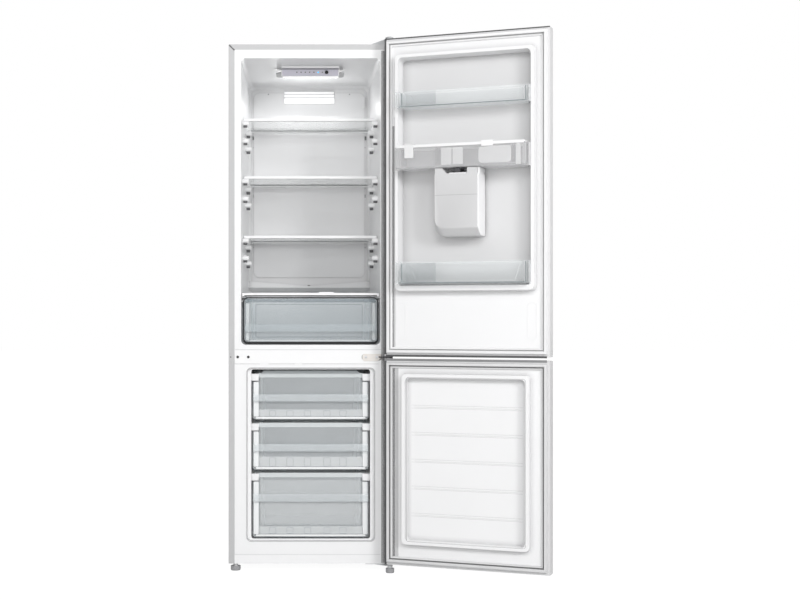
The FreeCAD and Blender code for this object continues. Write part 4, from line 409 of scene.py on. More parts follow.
def studs(name, points, radius, length, sides, axis_turn, finish, body, edge=0.0006):
    """Equal studs in one mesh, standing on points that are given as for in_cabinet."""
    mesh = bpy.data.meshes.new(name)
    mesh.from_pydata([tuple(in_cabinet(*point)) for point in points], [], [])
    piece = made(name, mesh)
    tree = stud_tree(name, axis_turn, finish)
    rows = piece.modifiers.new("rows", "NODES")
    rows.node_group = tree
    values = {"Radius": radius / 1000, "Length": length / 1000, "Sides": sides}
    for socket in tree.interface.items_tree:
        if socket.in_out == "INPUT" and socket.name in values:
            rows[socket.identifier] = values[socket.name]
    round_edges(piece, edge, steps=2, over=math.radians(50))
    mesh = plain_mesh(piece)
    mesh.shade_smooth()
    mesh.set_sharp_from_angle(angle=math.radians(40))
    return fixed(finished(piece, finish), body)


ALONG_X = (0.0, math.radians(90), 0.0)
ALONG_Y = (math.radians(90), 0.0, 0.0)


def sheet_paint(name, light, dark, metal, rough=0.30):
    """Sprayed and baked paint: a slight flow in its colour and a fine orange peel."""
    paint = Finish(name, {"Metallic": metal, "IOR": 1.5, "Coat Weight": 0.25, "Coat Roughness": 0.12})
    flow = paint.grain(4.0, 2.0)
    peel = paint.grain(700.0, 2.0)
    paint.set({"Base Color": paint.mixed(flow * 0.6 + peel * 0.4, dark, light),
               "Roughness": rough + peel * 0.10})
    paint.rough_to(peel, 0.00003)
    return paint


shell_paint = sheet_paint("shell_paint", (0.50, 0.50, 0.505), (0.46, 0.46, 0.465), 0.08, 0.46)
door_paint = sheet_paint("door_paint", (0.66, 0.66, 0.665), (0.62, 0.62, 0.625), 0.12, 0.38)


def bare_metal(name, light, dark, rough, streak):
    """Plated or drawn metal, streaked along the way it was rolled."""
    metal = Finish(name, {"Metallic": 0.95, "IOR": 1.45})
    rolled = metal.grain(60.0, 4.0, streak)
    spots = metal.grain(25.0, 3.0)
    metal.set({"Base Color": metal.mixed(rolled * 0.6 + spots * 0.4, dark, light),
               "Roughness": rough + rolled * 0.14})
    metal.rough_to(rolled, 0.00004)
    return metal


zinc = bare_metal("zinc_sheet", (0.70, 0.71, 0.72), (0.55, 0.56, 0.57), 0.34, (1.0, 1.0, 12.0))

eased("outer_shell", "shell_paint", 0.0, 2, shell_paint)
dress("back_panel", zinc)
back_edge = [(x, 530.0, z) for z in (270.0, 1744.0) for x in (-520.0, -392.0, -263.0, -134.0, -6.0)]
back_edge += [(x, 530.0, z) for z in (480.0, 690.0, 900.0, 1110.0, 1320.0, 1530.0) for x in (-520.0, -6.0)]
back_screws = bare_metal("back_screws", (0.66, 0.67, 0.68), (0.52, 0.53, 0.54), 0.3, (1.0, 1.0, 6.0))
base_paint = sheet_paint("base_paint", (0.84, 0.84, 0.845), (0.81, 0.81, 0.815), 0.0, 0.42)
eased("base_pan", "shell_paint", 0.0, 2, base_paint)
mitre_dark = sheet_paint("mitre_dark", (0.10, 0.10, 0.10), (0.07, 0.07, 0.07), 0.0, 0.5)
plates("mitre_lines", [([(-537.8, 1758.9), (-534.9, 1761.8), (-516.7, 1743.6), (-519.6, 1740.7)], 32.5, INTO_FLANGE),
                       ([(10.4, 1761.8), (11.6, 1760.6), (-6.6, 1742.4), (-7.8, 1743.6)], 32.5, INTO_FLANGE)],
       mitre_dark, "cabinet", edge=0.0001)
plates("base_line", [(oblong(-519.0, 54.2, -30.0, 55.6), 32.7, INTO_FLANGE)],
       sheet_paint("line_grey", (0.62, 0.62, 0.625), (0.58, 0.58, 0.585), 0.0, 0.5), "cabinet",
       edge=0.0001)
studs("back_panel_screws", back_edge, 3.6, 2.6, 6, ALONG_Y, back_screws, "cabinet", 0.0004)


# The two compartments. Each liner is one sheet of white plastic drawn into a mould, with its shelf rests,
# rails and gutter formed in it, and it is held by the foam that fills the space behind.
def moulded(name, light, dark, rough, peel_size=500.0, peel_depth=0.00002, coat=0.0, crease_shade=None):
    """Moulded plastic: its colour varies little, its gloss a little more. The last argument is a distance and a
    colour
    of painted shade: inside corners nearer than that are darkened towards that colour by ambient occlusion."""
    plastic = Finish(name, {"IOR": 1.5, "Coat Weight": coat, "Coat Roughness": 0.1})
    cloud = plastic.grain(6.0, 2.0)
    peel = plastic.grain(peel_size, 2.0)
    colour = plastic.mixed(cloud * 0.7 + peel * 0.3, dark, light)
    # Painted shade: ambient occlusion darkens the inside corners.
    if crease_shade:
        reach, shade = crease_shade
        open_share = plastic.add("ShaderNodeAmbientOcclusion", {"samples": 8, "only_local": True},
                                 {"Distance": reach}, "AO")
        shaded_share = 1.0 - open_share ** 1.4
        colour = plastic.add("ShaderNodeMix", {"data_type": "RGBA"}, {0: shaded_share, 6: colour, 7: (*shade, 1.0)}, 2)
    plastic.set({"Base Color": colour, "Roughness": rough + cloud * 0.08})
    plastic.rough_to(peel, peel_depth)
    return plastic


# Both liner whites carry painted shade in their inside corners.
white_liner = moulded("white_liner", (0.83, 0.83, 0.835), (0.80, 0.80, 0.805), 0.26,
                      crease_shade=(0.018, (0.50, 0.50, 0.505)))
white_inner = moulded("white_inner", (0.83, 0.83, 0.835), (0.80, 0.80, 0.805), 0.30,
                      crease_shade=(0.018, (0.56, 0.56, 0.565)))
eased("fridge_liner", "white_liner", 0.0008, 2, white_inner)
eased("freezer_liner", "white_liner", 0.0012, 3, white_inner)
drain_dark = moulded("drain_dark", (0.10, 0.10, 0.105), (0.07, 0.07, 0.075), 0.6)
# Dark discs on the back wall: two screws high up, two dots lower down, and painted shade filling the drain hole.
plates("wall_screws_and_drain_shade", [(disc(-412.3, 1663.5, 1.8), 459.0, 461.2), (disc(-115.4, 1663.5, 1.8), 459.0, 461.2),
                       (disc(-266.0, 962.6, 3.0), 458.6, 461.2),
                       (disc(-484.8, 941.8, 3.2), 455.0, 458.0), (disc(-42.8, 941.8, 3.2), 455.0, 458.0)],
       drain_dark, "cabinet")
plates("freezer_rim", [(rounded(-475.4, 100.2, -50.6, 677.0, 13.4), 43.0, 47.5,
                        rounded(-462.0, 106.0, -64.0, 673.6, 8.0))],
       white_liner, "cabinet", edge=0.0014)
plates("freezer_rim_line", [(rounded(-479.0, 96.6, -47.0, 680.6, 17.0), 32.6, INTO_FLANGE,
                             rounded(-476.0, 99.6, -50.0, 677.6, 14.0))],
       moulded("rim_grey", (0.52, 0.52, 0.525), (0.48, 0.48, 0.485), 0.4), "cabinet", edge=0.0001)
plates("light_mounts", [(rounded(-485.6, 1612, -479.6, 1654, 2.9), 452.0, 461.4),
                        (rounded(-66.0, 1612, -60.0, 1654, 2.9), 452.0, 461.4)],
       white_liner, "cabinet", edge=0.0012)
foam = moulded("foam", (0.86, 0.80, 0.62), (0.78, 0.71, 0.52), 0.8, 260.0, 0.0006)
dress("insulation_foam", foam)
aluminium = bare_metal("aluminium_plate", (0.80, 0.81, 0.82), (0.70, 0.71, 0.72), 0.32, (10.0, 1.0, 1.0))
dress("evaporator_plates", aluminium)


# The cross rail between the compartments is pressed sheet, painted white and screwed to both sides.
# Its spare hinge holes, which serve when the doors are hung the other way, are filled with black discs: painted
# shade.
white_paint = sheet_paint("rail_paint", (0.845, 0.845, 0.85), (0.825, 0.825, 0.83), 0.0)
eased("mid_beam", "white_liner", 0.0006, 2, white_paint)
seam_grey = moulded("seam_grey", (0.60, 0.60, 0.605), (0.55, 0.55, 0.555), 0.5)
BEAM_LOW = 693.7
BEAM_HIGH = 738.9
plates("rail_seams", [(oblong(-517.6, BEAM_LOW - 2.2, -433.0, BEAM_LOW - 0.6), 32.5, INTO_FLANGE),
                      (oblong(-405.0, BEAM_LOW - 2.2, -316.0, BEAM_LOW - 0.6), 32.5, INTO_FLANGE),
                      (oblong(-293.0, BEAM_LOW - 2.2, -36.0, BEAM_LOW - 0.6), 32.5, INTO_FLANGE),
                      (oblong(-517.6, BEAM_HIGH + 0.4, -22.0, BEAM_HIGH + 1.8), 32.5, INTO_FLANGE)],
       seam_grey, "cabinet", edge=0.0001)
# Black discs in the two spare holes are painted shade for the open holes; a small black dot sits on the flange
# beside them.
plates("spare_hole_shade", [(disc(-507.3, 715.5, 4.6), 32.3, 33.2), (disc(-471.8, 715.5, 4.6), 32.3, 33.2),
                             (disc(-530.8, 715.4, 2.0), 32.6, 33.2)],
       moulded("hole_shade_black", (0.03, 0.03, 0.03), (0.02, 0.02, 0.02), 0.6), "cabinet", edge=0.0004)


# The machinery in the niche at the back. A black enamelled compressor stands on rubber mounts on a
# zinc-coated carrier, with copper-coloured pipes soldered to it and a tray for thaw water above.
grey_plastic = moulded("grey_plastic", (0.46, 0.47, 0.48), (0.40, 0.41, 0.42), 0.42)
black_enamel = moulded("black_enamel", (0.030, 0.030, 0.032), (0.020, 0.020, 0.022), 0.26, 300.0, 0.00004, 0.4)
# Black rubber for the compressor's mounts; the same black is painted shade in the crisper's gap.
black_rubber = moulded("black_rubber", (0.012, 0.012, 0.013), (0.008, 0.008, 0.009), 0.7, 420.0, 0.00005)
black_plastic = moulded("black_plastic", (0.045, 0.045, 0.047), (0.032, 0.032, 0.034), 0.45)
pipe_steel = bare_metal("pipe_steel", (0.55, 0.42, 0.34), (0.42, 0.31, 0.25), 0.34, (1.0, 1.0, 6.0))
eased("drain_tube", "grey_plastic", 0.0, 2, grey_plastic)
eased("compressor_carrier", "zinc_steel", 0.0, 2, zinc)
eased("compressor", "black_enamel", 0.0, 2, black_enamel)
eased("compressor_mounts", "black_rubber", 0.0012, 2, black_rubber)
eased("evaporation_tray", "grey_plastic", 0.0008, 2, grey_plastic)
eased("terminal_box", "black_plastic", 0.0008, 2, black_plastic)
eased("refrigerant_pipes", "pipe_steel", 0.0, 2, pipe_steel)
eased("rear_roller_left", "black_plastic", 0.0008, 2, black_plastic)
eased("rear_roller_right", "black_plastic", 0.0008, 2, black_plastic)


# The hinges. The top one is hidden by a grey plastic hood; the middle one is a plate painted cream with
# a dark steel arm, screwed to the cross rail; the bottom one is zinc-coated steel under the cabinet.
dark_steel = bare_metal("dark_steel", (0.11, 0.11, 0.115), (0.07, 0.07, 0.075), 0.40, (8.0, 1.0, 1.0))
bright_steel = bare_metal("bright_steel", (0.72, 0.72, 0.73), (0.60, 0.60, 0.61), 0.22, (1.0, 1.0, 8.0))
cream_paint = sheet_paint("hinge_paint", (0.74, 0.705, 0.67), (0.71, 0.675, 0.64), 0.0, 0.4)
eased("top_hinge", "zinc_steel", 0.0, 2, zinc)
eased("top_hinge_cover", "grey_plastic", 0.0012, 3, grey_plastic)
eased("bottom_hinge", "zinc_steel", 0.0004, 2, zinc)
eased("hinge_screws", "screw_steel", 0.0003, 2, bright_steel)
hinge = eased("middle_hinge", "hinge_paint", 0.0004, 2, cream_paint, dark_steel)
# A grey ring just larger than the hinge plate: painted shadow round it on the rail.
plates("hinge_plate_shadow", [(rounded(-92.2, 703.6, -24.0, 725.6, 9.0), 32.3, INTO_FLANGE)],
       moulded("shadow_grey", (0.30, 0.29, 0.28), (0.26, 0.25, 0.24), 0.6), "cabinet", edge=0.0003)
PLATE_END = -0.0300
for face in hinge.data.polygons:
    if face.center.x > PLATE_END:
        face.material_index = 1


# The front feet: ribbed knobs of grey plastic moulded round a threaded stud. The left one screws up into
# a nut on the base pan and the right one into a nut on the bottom hinge, to level the cabinet.
foot_plastic = moulded("foot_plastic", (0.34, 0.34, 0.35), (0.28, 0.28, 0.29), 0.45)
eased("front_foot_right", "foot_plastic", 0.0005, 2, foot_plastic)
eased("front_foot_left", "foot_plastic", 0.0005, 2, foot_plastic)


# The controls and the light under the ceiling. A white moulded housing carries a lilac-grey fascia with
# seven small lights and a button. The white louvred grille on the back wall glows between its blades.
panel_white = moulded("panel_white", (0.80, 0.80, 0.81), (0.77, 0.77, 0.78), 0.22)
fascia_grey = moulded("fascia_grey", (0.545, 0.53, 0.60), (0.52, 0.505, 0.575), 0.18)
lit_blue = Finish("lit_blue", {"Base Color": (0.05, 0.42, 0.75), "Roughness": 0.2,
                               "Emission Color": (0.05, 0.50, 0.90), "Emission Strength": 0.9})
dark_dot = moulded("dark_dot", (0.20, 0.20, 0.21), (0.16, 0.16, 0.17), 0.25)
button_black = moulded("button_black", (0.02, 0.02, 0.022), (0.012, 0.012, 0.014), 0.2)
eased("control_housing", "panel_white", 0.0010, 3, panel_white)
eased("control_fascia", "fascia_grey", 0.0003, 2, fascia_grey)
lights = eased("indicator_lights", "light_blue", 0.0002, 2, dark_dot, lit_blue)
FIRST_LIGHT = -0.309
LIGHT_PITCH = 0.0146
LIT_LIGHT = FIRST_LIGHT + 5 * LIGHT_PITCH
LIGHT_REACH = 0.005
for face in lights.data.polygons:
    if abs(face.center.x - LIT_LIGHT) < LIGHT_REACH:
        face.material_index = 1
eased("control_button", "black_plastic", 0.0006, 2, button_black)


def on_ceiling(x, height, depth):
    """Places an outline that is seen from below."""
    return in_cabinet(x, depth, height)


rim_plastic = moulded("rim_plastic", (0.40, 0.40, 0.405), (0.36, 0.36, 0.365), 0.6)
strip_grey = moulded("strip_grey", (0.23, 0.23, 0.25), (0.19, 0.19, 0.21), 0.4)
plates("fascia_shadow_gap", [(oblong(-361.0, 1697.2, -165.0, 1703.6), 140.2, 141.1)], strip_grey, "cabinet",
       edge=0.0002)
plates("fascia_lip", [(oblong(-358.0, 1669.4, -168.0, 1673.4), 134.6, 150.0)],
       moulded("lip_white", (0.90, 0.90, 0.90), (0.88, 0.88, 0.88), 0.2), "cabinet", edge=0.0012)
plates("housing_rim", [(rounded(-380.0, 152.0, -146.0, 246.0, 18.0), 1687.0, 1690.0)],
       rim_plastic, "cabinet", on_ceiling, 0.0006)
lens = Finish("lamp_lens", {"Emission Color": (1.0, 1.0, 1.0), "Emission Strength": 0.40})
lens_cloud = lens.grain(40.0, 2.0)
lens.set({"Base Color": lens.mixed(lens_cloud, (0.88, 0.88, 0.88), (0.92, 0.92, 0.92)),
          "Roughness": 0.45 + lens_cloud * 0.1})
lens.rough_to(lens_cloud, 0.00002)
plates("lamp_lens", [(rounded(-354.0, 1628.5, -172.0, 1648.0, 2.0), 452.6, 454.2),
                     (oblong(-353.0, 1652.6, -173.0, 1661.0), 452.9, 454.2),
                     (oblong(-353.0, 1665.2, -173.0, 1670.6), 452.9, 454.2)], lens, "cabinet",
       edge=0.0006)
eased("air_outlet_grille", "panel_white", 0.0008, 2, panel_white)

# The dark studs set just under each shelf nub are painted shade beneath the rests.
nub_shadow_dark = moulded("nub_shadow_dark", (0.13, 0.13, 0.135), (0.10, 0.10, 0.105), 0.5)
nub_white = moulded("nub_white", (0.86, 0.86, 0.865), (0.84, 0.84, 0.845), 0.26)
CAVITY_MIDDLE = -263.0
SHELVES = {"upper": 1526.0, "middle": 1328.6, "lower": 1125.2}
nubs = []
nub_shades = []
for shelf in SHELVES.values():
    for side in (-1, 1):
        for drop in (0.0, 60.0):
            nubs += [(CAVITY_MIDDLE + side * 222.6, 131.0, shelf - 15.6 - drop),
                     (CAVITY_MIDDLE + side * 217.2, 262.0, shelf - 33.0 - 0.92 * drop)]
            nub_shades += [(CAVITY_MIDDLE + side * 222.0, 128.6, shelf - 25.0 - drop),
                           (CAVITY_MIDDLE + side * 216.2, 258.6, shelf - 44.6 - 0.92 * drop)]
studs("shelf_nubs", nubs, 8.6, 24.0, 16, ALONG_X, nub_white, "cabinet", 0.0016)
studs("shelf_nub_shadows", nub_shades, 4.8, 13.0, 12, ALONG_X, nub_shadow_dark, "cabinet", 0.0010)


def strip_light(name, place, towards, length, watts, seen=True):
    """A narrow lamp inside the compartment; towards is the way that it shines."""
    light = bpy.data.lights.new(name, "AREA")
    light.shape = "RECTANGLE"
    light.size = length
    light.size_y = STRIP_WIDTH
    light.energy = watts
    lamp = bpy.data.objects.new(name, light)
    lamp.location = place
    lamp.rotation_euler = Vector(towards).to_track_quat("-Z", "Y").to_euler()
    lamp.visible_camera = seen
    scene.collection.objects.link(lamp)


STRIP_WIDTH = 0.03
strip_light("compartment_lamp", (-0.263, 0.250, 1.668), (0.0, 0.55, -0.83), 0.26, 0.13)
strip_light("grille_glow", (-0.263, 0.446, 1.612), (0.0, -1.0, -0.55), 0.24, 0.36, False)


# The shelves are toughened glass, each held by a white moulded trim in front and behind, and they rest on
# the liner's nubs. They slide out. The shadows that they cast on the back wall are thin films on it.
def clear(name, colour, face_on, edge_on, rough, blend=0.35):
    """Clear plastic or glass: thin where it is looked through, denser towards its edges."""
    glassy = Finish(name, {"IOR": 1.5, "Specular IOR Level": 0.6})
    cloud = glassy.grain(5.0, 2.0)
    rim = glassy.facing(blend)
    lighter = tuple(min(1.0, c * 1.06) for c in colour)
    glassy.set({"Base Color": glassy.mixed(cloud, colour, lighter), "Roughness": rough + cloud * 0.05,
                "Alpha": face_on + rim * (edge_on - face_on)})
    glassy.rough_to(glassy.grain(90.0, 2.0), 0.00002)
    return glassy


ON_WALL = (460.2, 461.6)
shelf_glass = clear("shelf_glass", (0.83, 0.87, 0.865), 0.05, 0.34, 0.05)
shelf_trim = moulded("shelf_trim", (0.86, 0.86, 0.865), (0.84, 0.84, 0.845), 0.24)
shade_film = clear("shade_film", (0.42, 0.44, 0.44), 0.10, 0.20, 0.1)
shadow_line = clear("shadow_line", (0.28, 0.29, 0.29), 0.20, 0.3, 0.1)
plates("wall_lines", [(oblong(-468.0, low, -56.0, high), *ON_WALL)
                      for low, high in ((1320.2, 1322.4), (1286.0, 1297.0), (1101.4, 1105.6), (1116.0, 1121.4),
                                        (1468.0, 1470.0))], shadow_line, "cabinet", edge=0.0002)
plates("wall_band", [(oblong(-470.0, 1496.9, -54.0, 1510.2), *ON_WALL)],
       clear("shadow_band", (0.24, 0.25, 0.25), 0.46, 0.5, 0.1), "cabinet", edge=0.0003)
for name, shelf in SHELVES.items():
    eased("shelf_glass_" + name, "shelf_glass", 0.0008, 2, shelf_glass)
    eased("shelf_trims_" + name, "shelf_trim", 0.0012, 3, shelf_trim)
    plates("shelf_film_" + name, [(oblong(-474.0, shelf - 4.7, -52.0, shelf - 4.3), 330.0, 426.0),
                                  (oblong(-482.0, shelf - 9.6, -44.0, shelf - 8.4), 129.6, 132.0)],
           shade_film, "shelf_" + name, edge=0.0001)
eased("crisper_cover", "shelf_glass", 0.0008, 2, shelf_glass)
eased("crisper_cover_trim", "panel_white", 0.0010, 3, shelf_trim)


# The crisper is a moulded drawer of tinted clear plastic. A black band round its front is painted shade for the gap
# between drawer and liner. It runs on the liner's rails under a glass cover with a white trim.
crisper_clear = clear("crisper_clear", (0.74, 0.80, 0.83), 0.20, 0.85, 0.08)
eased("crisper_drawer", "clear_plastic", 0.0008, 3, crisper_clear)
plates("crisper_gap_shade", [(rounded(-490.4, 757.5, -35.6, 915.9, 17.0), 46.9, 51.0,
                         rounded(-486.2, 766.4, -39.8, 912.0, 12.0))],
       black_rubber, "crisper", edge=0.0006, nodes=("crisper_outline",))

cover_line = moulded("cover_line", (0.06, 0.06, 0.065), (0.04, 0.04, 0.045), 0.5)
# A black strip under the cover's white trim: painted shade along the top of the crisper's gap.
plates("crisper_cover_shade_line", [(oblong(-485.0, 918.8, -41.0, 922.4), 36.5, 37.2)], cover_line, "cabinet",
       edge=0.0002)
# Translucent grey strips down the back wall's corners: painted shade.
corner_shade_film = clear("corner_shade_film", (0.22, 0.22, 0.225), 0.42, 0.6, 0.1)
plates("corner_shade_lines", [(oblong(-486.0, 984.0, -483.2, 1246.0), 456.0, 461.6),
                        (oblong(-42.8, 984.0, -40.0, 1246.0), 456.0, 461.6)], corner_shade_film, "cabinet",
       edge=0.0002)
# A dark and a pale film for the crisper's front: painted shade and painted highlights.
crisper_shade = clear("crisper_shade", (0.30, 0.35, 0.38), 0.38, 0.6, 0.15)
crisper_highlight = clear("crisper_highlight", (0.88, 0.91, 0.92), 0.35, 0.6, 0.15)
plates("crisper_top_shade", [(oblong(-483.0, 899.0, -43.0, 911.0), 47.2, 47.9)], crisper_shade, "crisper",
       edge=0.0002)
# Pale films down the crisper's sides and along its foot: painted highlights.
plates("crisper_highlights", [(rounded(-480.0, 772.0, -470.0, 896.0, 3.0), 47.2, 47.9),
                          (rounded(-56.0, 772.0, -46.0, 896.0, 3.0), 47.2, 47.9),
                          (rounded(-466.0, 767.5, -60.0, 773.0, 2.0), 47.2, 47.9)],
       crisper_highlight, "crisper", edge=0.0002)
plates("crisper_panel_line", [(rounded(-447.4, 781.6, -89.3, 892.2, 5.0), 47.2, 47.8,
                               rounded(-446.2, 782.8, -90.5, 891.0, 4.0))],
       crisper_shade, "crisper", edge=0.0001)


# The freezer drawers are moulded from clear, slightly blue plastic. White edges, a pale rail along the top
# and short ribs in the floor stiffen them, and they run on the rails of the freezer's liner.
drawer_clear = clear("drawer_clear", (0.88, 0.92, 0.94), 0.24, 0.9, 0.10)
for name in ("upper", "middle", "lower"):
    eased("freezer_drawer_" + name, "clear_plastic", 0.0009, 3, drawer_clear)
drawer_white = moulded("drawer_white", (0.86, 0.87, 0.875), (0.83, 0.84, 0.845), 0.2)
drawer_rail = clear("drawer_rail", (0.84, 0.87, 0.88), 0.50, 0.75, 0.15)
drawer_floor = clear("drawer_floor", (0.90, 0.92, 0.925), 0.34, 0.5, 0.15)
drawer_rib = clear("drawer_rib", (0.36, 0.42, 0.45), 0.20, 0.4, 0.15)
plates("drawer_backing", [(rounded(-432.0, 180.0, -94.0, 262.0, 8.0), 64.6, 65.2),
                          (rounded(-432.0, 150.0, -94.0, 300.0, 8.0), 65.6, 66.2)],
       clear("drawer_mist", (0.92, 0.94, 0.945), 0.22, 0.4, 0.15), "drawer_lower", edge=0.0002)
# A dark plate along the top of the upper drawer: painted shade in the gap above it.
plates("drawer_top_shade", [([(-430.0, 660.4), (-96.0, 660.4), (-108.0, 669.0), (-418.0, 669.0)], 58.0, 66.0)],
       moulded("rim_shade", (0.30, 0.32, 0.33), (0.27, 0.29, 0.30), 0.4), "drawer_upper",
       edge=0.0005)
for name, foot, top, band in (("upper", 504.0, 661.0, 34.0), ("middle", 334.9, 493.6, 44.0),
                              ("lower", 108.0, 324.9, 36.0)):
    plates("drawer_edges_" + name,
           [(rounded(-455.0, foot + 10, -438.0, top - 30, 3.0), 62.9, 64.0),
            (rounded(-88.0, foot + 10, -71.0, top - 30, 3.0), 62.9, 64.0),
            (rounded(-448.0, foot + 2.5, -78.0, foot + 9.0, 3.0), 62.4, 64.0)],
           drawer_white, "drawer_" + name, edge=0.0005)
    plates("drawer_rail_" + name, [(oblong(-440.0, top - 15.5, -86.0, top - 1.0), 63.2, 63.9)], drawer_rail,
           "drawer_" + name, edge=0.0003)
    plates("drawer_floor_" + name, [(oblong(-436.0, foot + 11.0, -90.0, foot + band), 62.6, 63.2)], drawer_floor,
           "drawer_" + name, edge=0.0002)
    plates("drawer_ribs_" + name, [(rounded(x - 11.6, foot + 11.5, x + 11.6, foot + band - 3.0, 2.5), 62.0, 62.5,
                                    rounded(x - 10.2, foot + 12.5, x + 10.2, foot + band - 4.4, 2.0))
                                   for x in (-391.0, -332.5, -273.5, -208.0, -154.0)],
           drawer_rib, "drawer_" + name, edge=0.0001)


# The doors. Each is a painted steel skin and a drawn white liner with foam between, closed above and
# below by moulded caps, and a magnetic seal is pushed into the liner's groove all round.
HINGE_INSET = 12.0
AXIS_TO_LINER = 21.0
DOOR_WIDTH = 550.0
DOOR_OPEN = math.radians(158)
door_turn = Matrix.Rotation(DOOR_OPEN, 4, "Z")


def on_door(u, w, z):
    """A point on a door: u from its hinge edge, w inwards from its inner face, all in millimetres."""
    return door_turn @ Vector((HINGE_INSET - u, AXIS_TO_LINER + w, z)) / 1000


def door_place(point):
    """The same measures of a point that is known in the room."""
    closed = door_turn.inverted() @ point * 1000
    return HINGE_INSET - closed.x, closed.y - AXIS_TO_LINER, closed.z


# Both seals carry painted shade in their grooves. The lower door's is a darker copy of the upper's white, painted
# shade all over, and its groove is shaded nearly black.
soft_white = moulded("gasket", (0.80, 0.80, 0.805), (0.77, 0.77, 0.775), 0.42, 300.0, 0.00003,
                     crease_shade=(0.005, (0.42, 0.42, 0.42)))
shaded_gasket_grey = moulded("gasket_shaded", (0.66, 0.66, 0.665), (0.63, 0.63, 0.635), 0.42, 300.0, 0.00003,
                    crease_shade=(0.007, (0.12, 0.12, 0.12)))
GASKET_PROFILE = ((8.0, 0.0), (8.0, 2.6), (9.0, 3.6), (9.6, 5.2), (9.0, 6.4), (9.0, 9.6), (9.9, 10.9), (11.2, 11.4),
                  (16.6, 11.4), (17.8, 10.4), (18.2, 8.6), (18.2, 2.2), (21.0, 2.0), (21.4, 5.2), (22.4, 6.2),
                  (25.6, 5.4), (27.4, 3.4), (28.0, 0.0))


def gasket(door, z0, z1, finish):
    """The magnetic seal: one profile run round the door and welded at its mitred corners."""
    corners = ((0, 0), (1, 0), (1, 1), (0, 1))
    verts = []
    for right, up in corners:
        for inset, w in GASKET_PROFILE:
            u = DOOR_WIDTH - inset if right else inset
            z = z1 - inset if up else z0 + inset
            verts.append(on_door(u, w, z))
    count = len(GASKET_PROFILE)
    faces = []
    for side in range(4):
        here = side * count
        there = (side + 1) % 4 * count
        for i in range(count):
            j = (i + 1) % count
            faces.append((here + i, here + j, there + j, there + i))
    mesh = bpy.data.meshes.new(door + "_seal")
    mesh.from_pydata(verts, [], faces)
    work = bmesh.new()
    work.from_mesh(mesh)
    bmesh.ops.recalc_face_normals(work, faces=work.faces)
    work.to_mesh(mesh)
    work.free()
    mesh.shade_smooth()
    mesh.set_sharp_from_angle(angle=math.radians(50))
    piece = finished(made(door + "_seal", mesh), finish)
    fixed(piece, door, (door + "_gasket",))


door_caps = moulded("door_caps", (0.66, 0.66, 0.665), (0.62, 0.62, 0.625), 0.40)
edge_dark = moulded("edge_dark", (0.080, 0.080, 0.083), (0.060, 0.060, 0.063), 0.45)
edge_grey = moulded("edge_grey", (0.25, 0.25, 0.255), (0.21, 0.21, 0.215), 0.45)
# The pan inside the upper door's dikes gets a darker copy of the liner's white: painted shade for the recess, with
# more painted shade in its corners.
pan_shaded_white = moulded("pan_shaded_white", (0.66, 0.66, 0.665), (0.63, 0.63, 0.635), 0.34,
                    crease_shade=(0.035, (0.36, 0.36, 0.365)))
PAN_FACE = -10
PAN_FOOT = 940
PAN_SIDES = (60, 490)
for door in ("upper_door", "lower_door"):
    eased(door + "_skin", "door_paint", 0.0, 2, door_paint)
    liner = eased(door + "_liner", "white_liner", 0.0016, 3, white_liner, pan_shaded_white)
    if door == "upper_door":
        # The pan's faces take the darker, painted-shade copy.
        for face in liner.data.polygons:
            u, w, z = door_place(face.center)
            if w < PAN_FACE and z > PAN_FOOT and PAN_SIDES[0] < u < PAN_SIDES[1]:
                face.material_index = 1
    dress(door + "_foam", foam)
    eased(door + "_caps", "grey_plastic", 0.0006, 2, door_caps)
gasket("upper_door", 722.3, 1768.8, soft_white)
gasket("lower_door", 31.6, 708.5, shaded_gasket_grey)
# Dark strips along the doors' hinge edges and ends stand for the skin's folded edge, darkened with painted shade.
plates("upper_door_edge_shade", [(oblong(0.2, 725.6, 7.2, 1766.6), -0.2, 0.7),
                                (oblong(0.4, 1766.6, 549.4, 1770.6), -0.2, 0.7),
                                (oblong(4.0, 718.4, 540.0, 725.0), -0.2, 0.7)],
       edge_dark, "upper_door", on_door, 0.0002)
plates("lower_door_edge_shade", [(oblong(0.2, 31.0, 7.2, 704.4), -0.2, 0.7)], edge_dark, "lower_door",
       on_door, 0.0002)
plates("lower_door_top_shade", [(oblong(0.4, 704.6, 540.0, 712.4), -0.2, 0.7)], edge_grey, "lower_door",
       on_door, 0.0002)
inner_edge_shade = moulded("inner_edge_shade", (0.40, 0.40, 0.405), (0.36, 0.36, 0.365), 0.5)
# Translucent dark film: painted shadow of each door on the cabinet's flange beside the hinge, and painted shade on
# the doors' flats beside the hinge-side dike.
shadow_film = clear("shadow_film", (0.20, 0.20, 0.205), 0.26, 0.3, 0.05)
plates("hinge_side_shadow", [(oblong(-20.0, 26.0, -8.2, 1741.0), 32.62, INTO_FLANGE),
                           (oblong(-27.0, 26.0, -8.2, 1741.0), 32.48, 32.56)],
       shadow_film, "cabinet", edge=0.0001)
plates("upper_hinge_shade", [(oblong(27.0, 740.0, 37.6, 1480.0), -0.2, 0.3),
                             (oblong(27.0, 740.0, 32.0, 1480.0), 0.35, 0.6)],
       shadow_film, "upper_door", on_door, 0.0001)
plates("lower_hinge_shade", [(oblong(27.0, 46.0, 48.0, 698.0), -0.2, 0.3),
                             (oblong(27.0, 46.0, 36.0, 698.0), 0.35, 0.6)],
       shadow_film, "lower_door", on_door, 0.0001)
# Thin grey film lines beside each groove of the lower door's pan: painted shade of the grooves.
rib_shade_film = clear("rib_shade_film", (0.42, 0.42, 0.425), 0.20, 0.3, 0.05)
LOWER_GROOVES = (555.4, 466.7, 378.1, 289.4, 200.7)
plates("lower_rib_shade_lines", [(rounded(92.0, z + shift, 462.0, z + shift + 1.3, 0.6), -4.2, -3.8)
                           for z in LOWER_GROOVES for shift in (3.6, -6.2)],
       rib_shade_film, "lower_door", on_door, 0.0001)
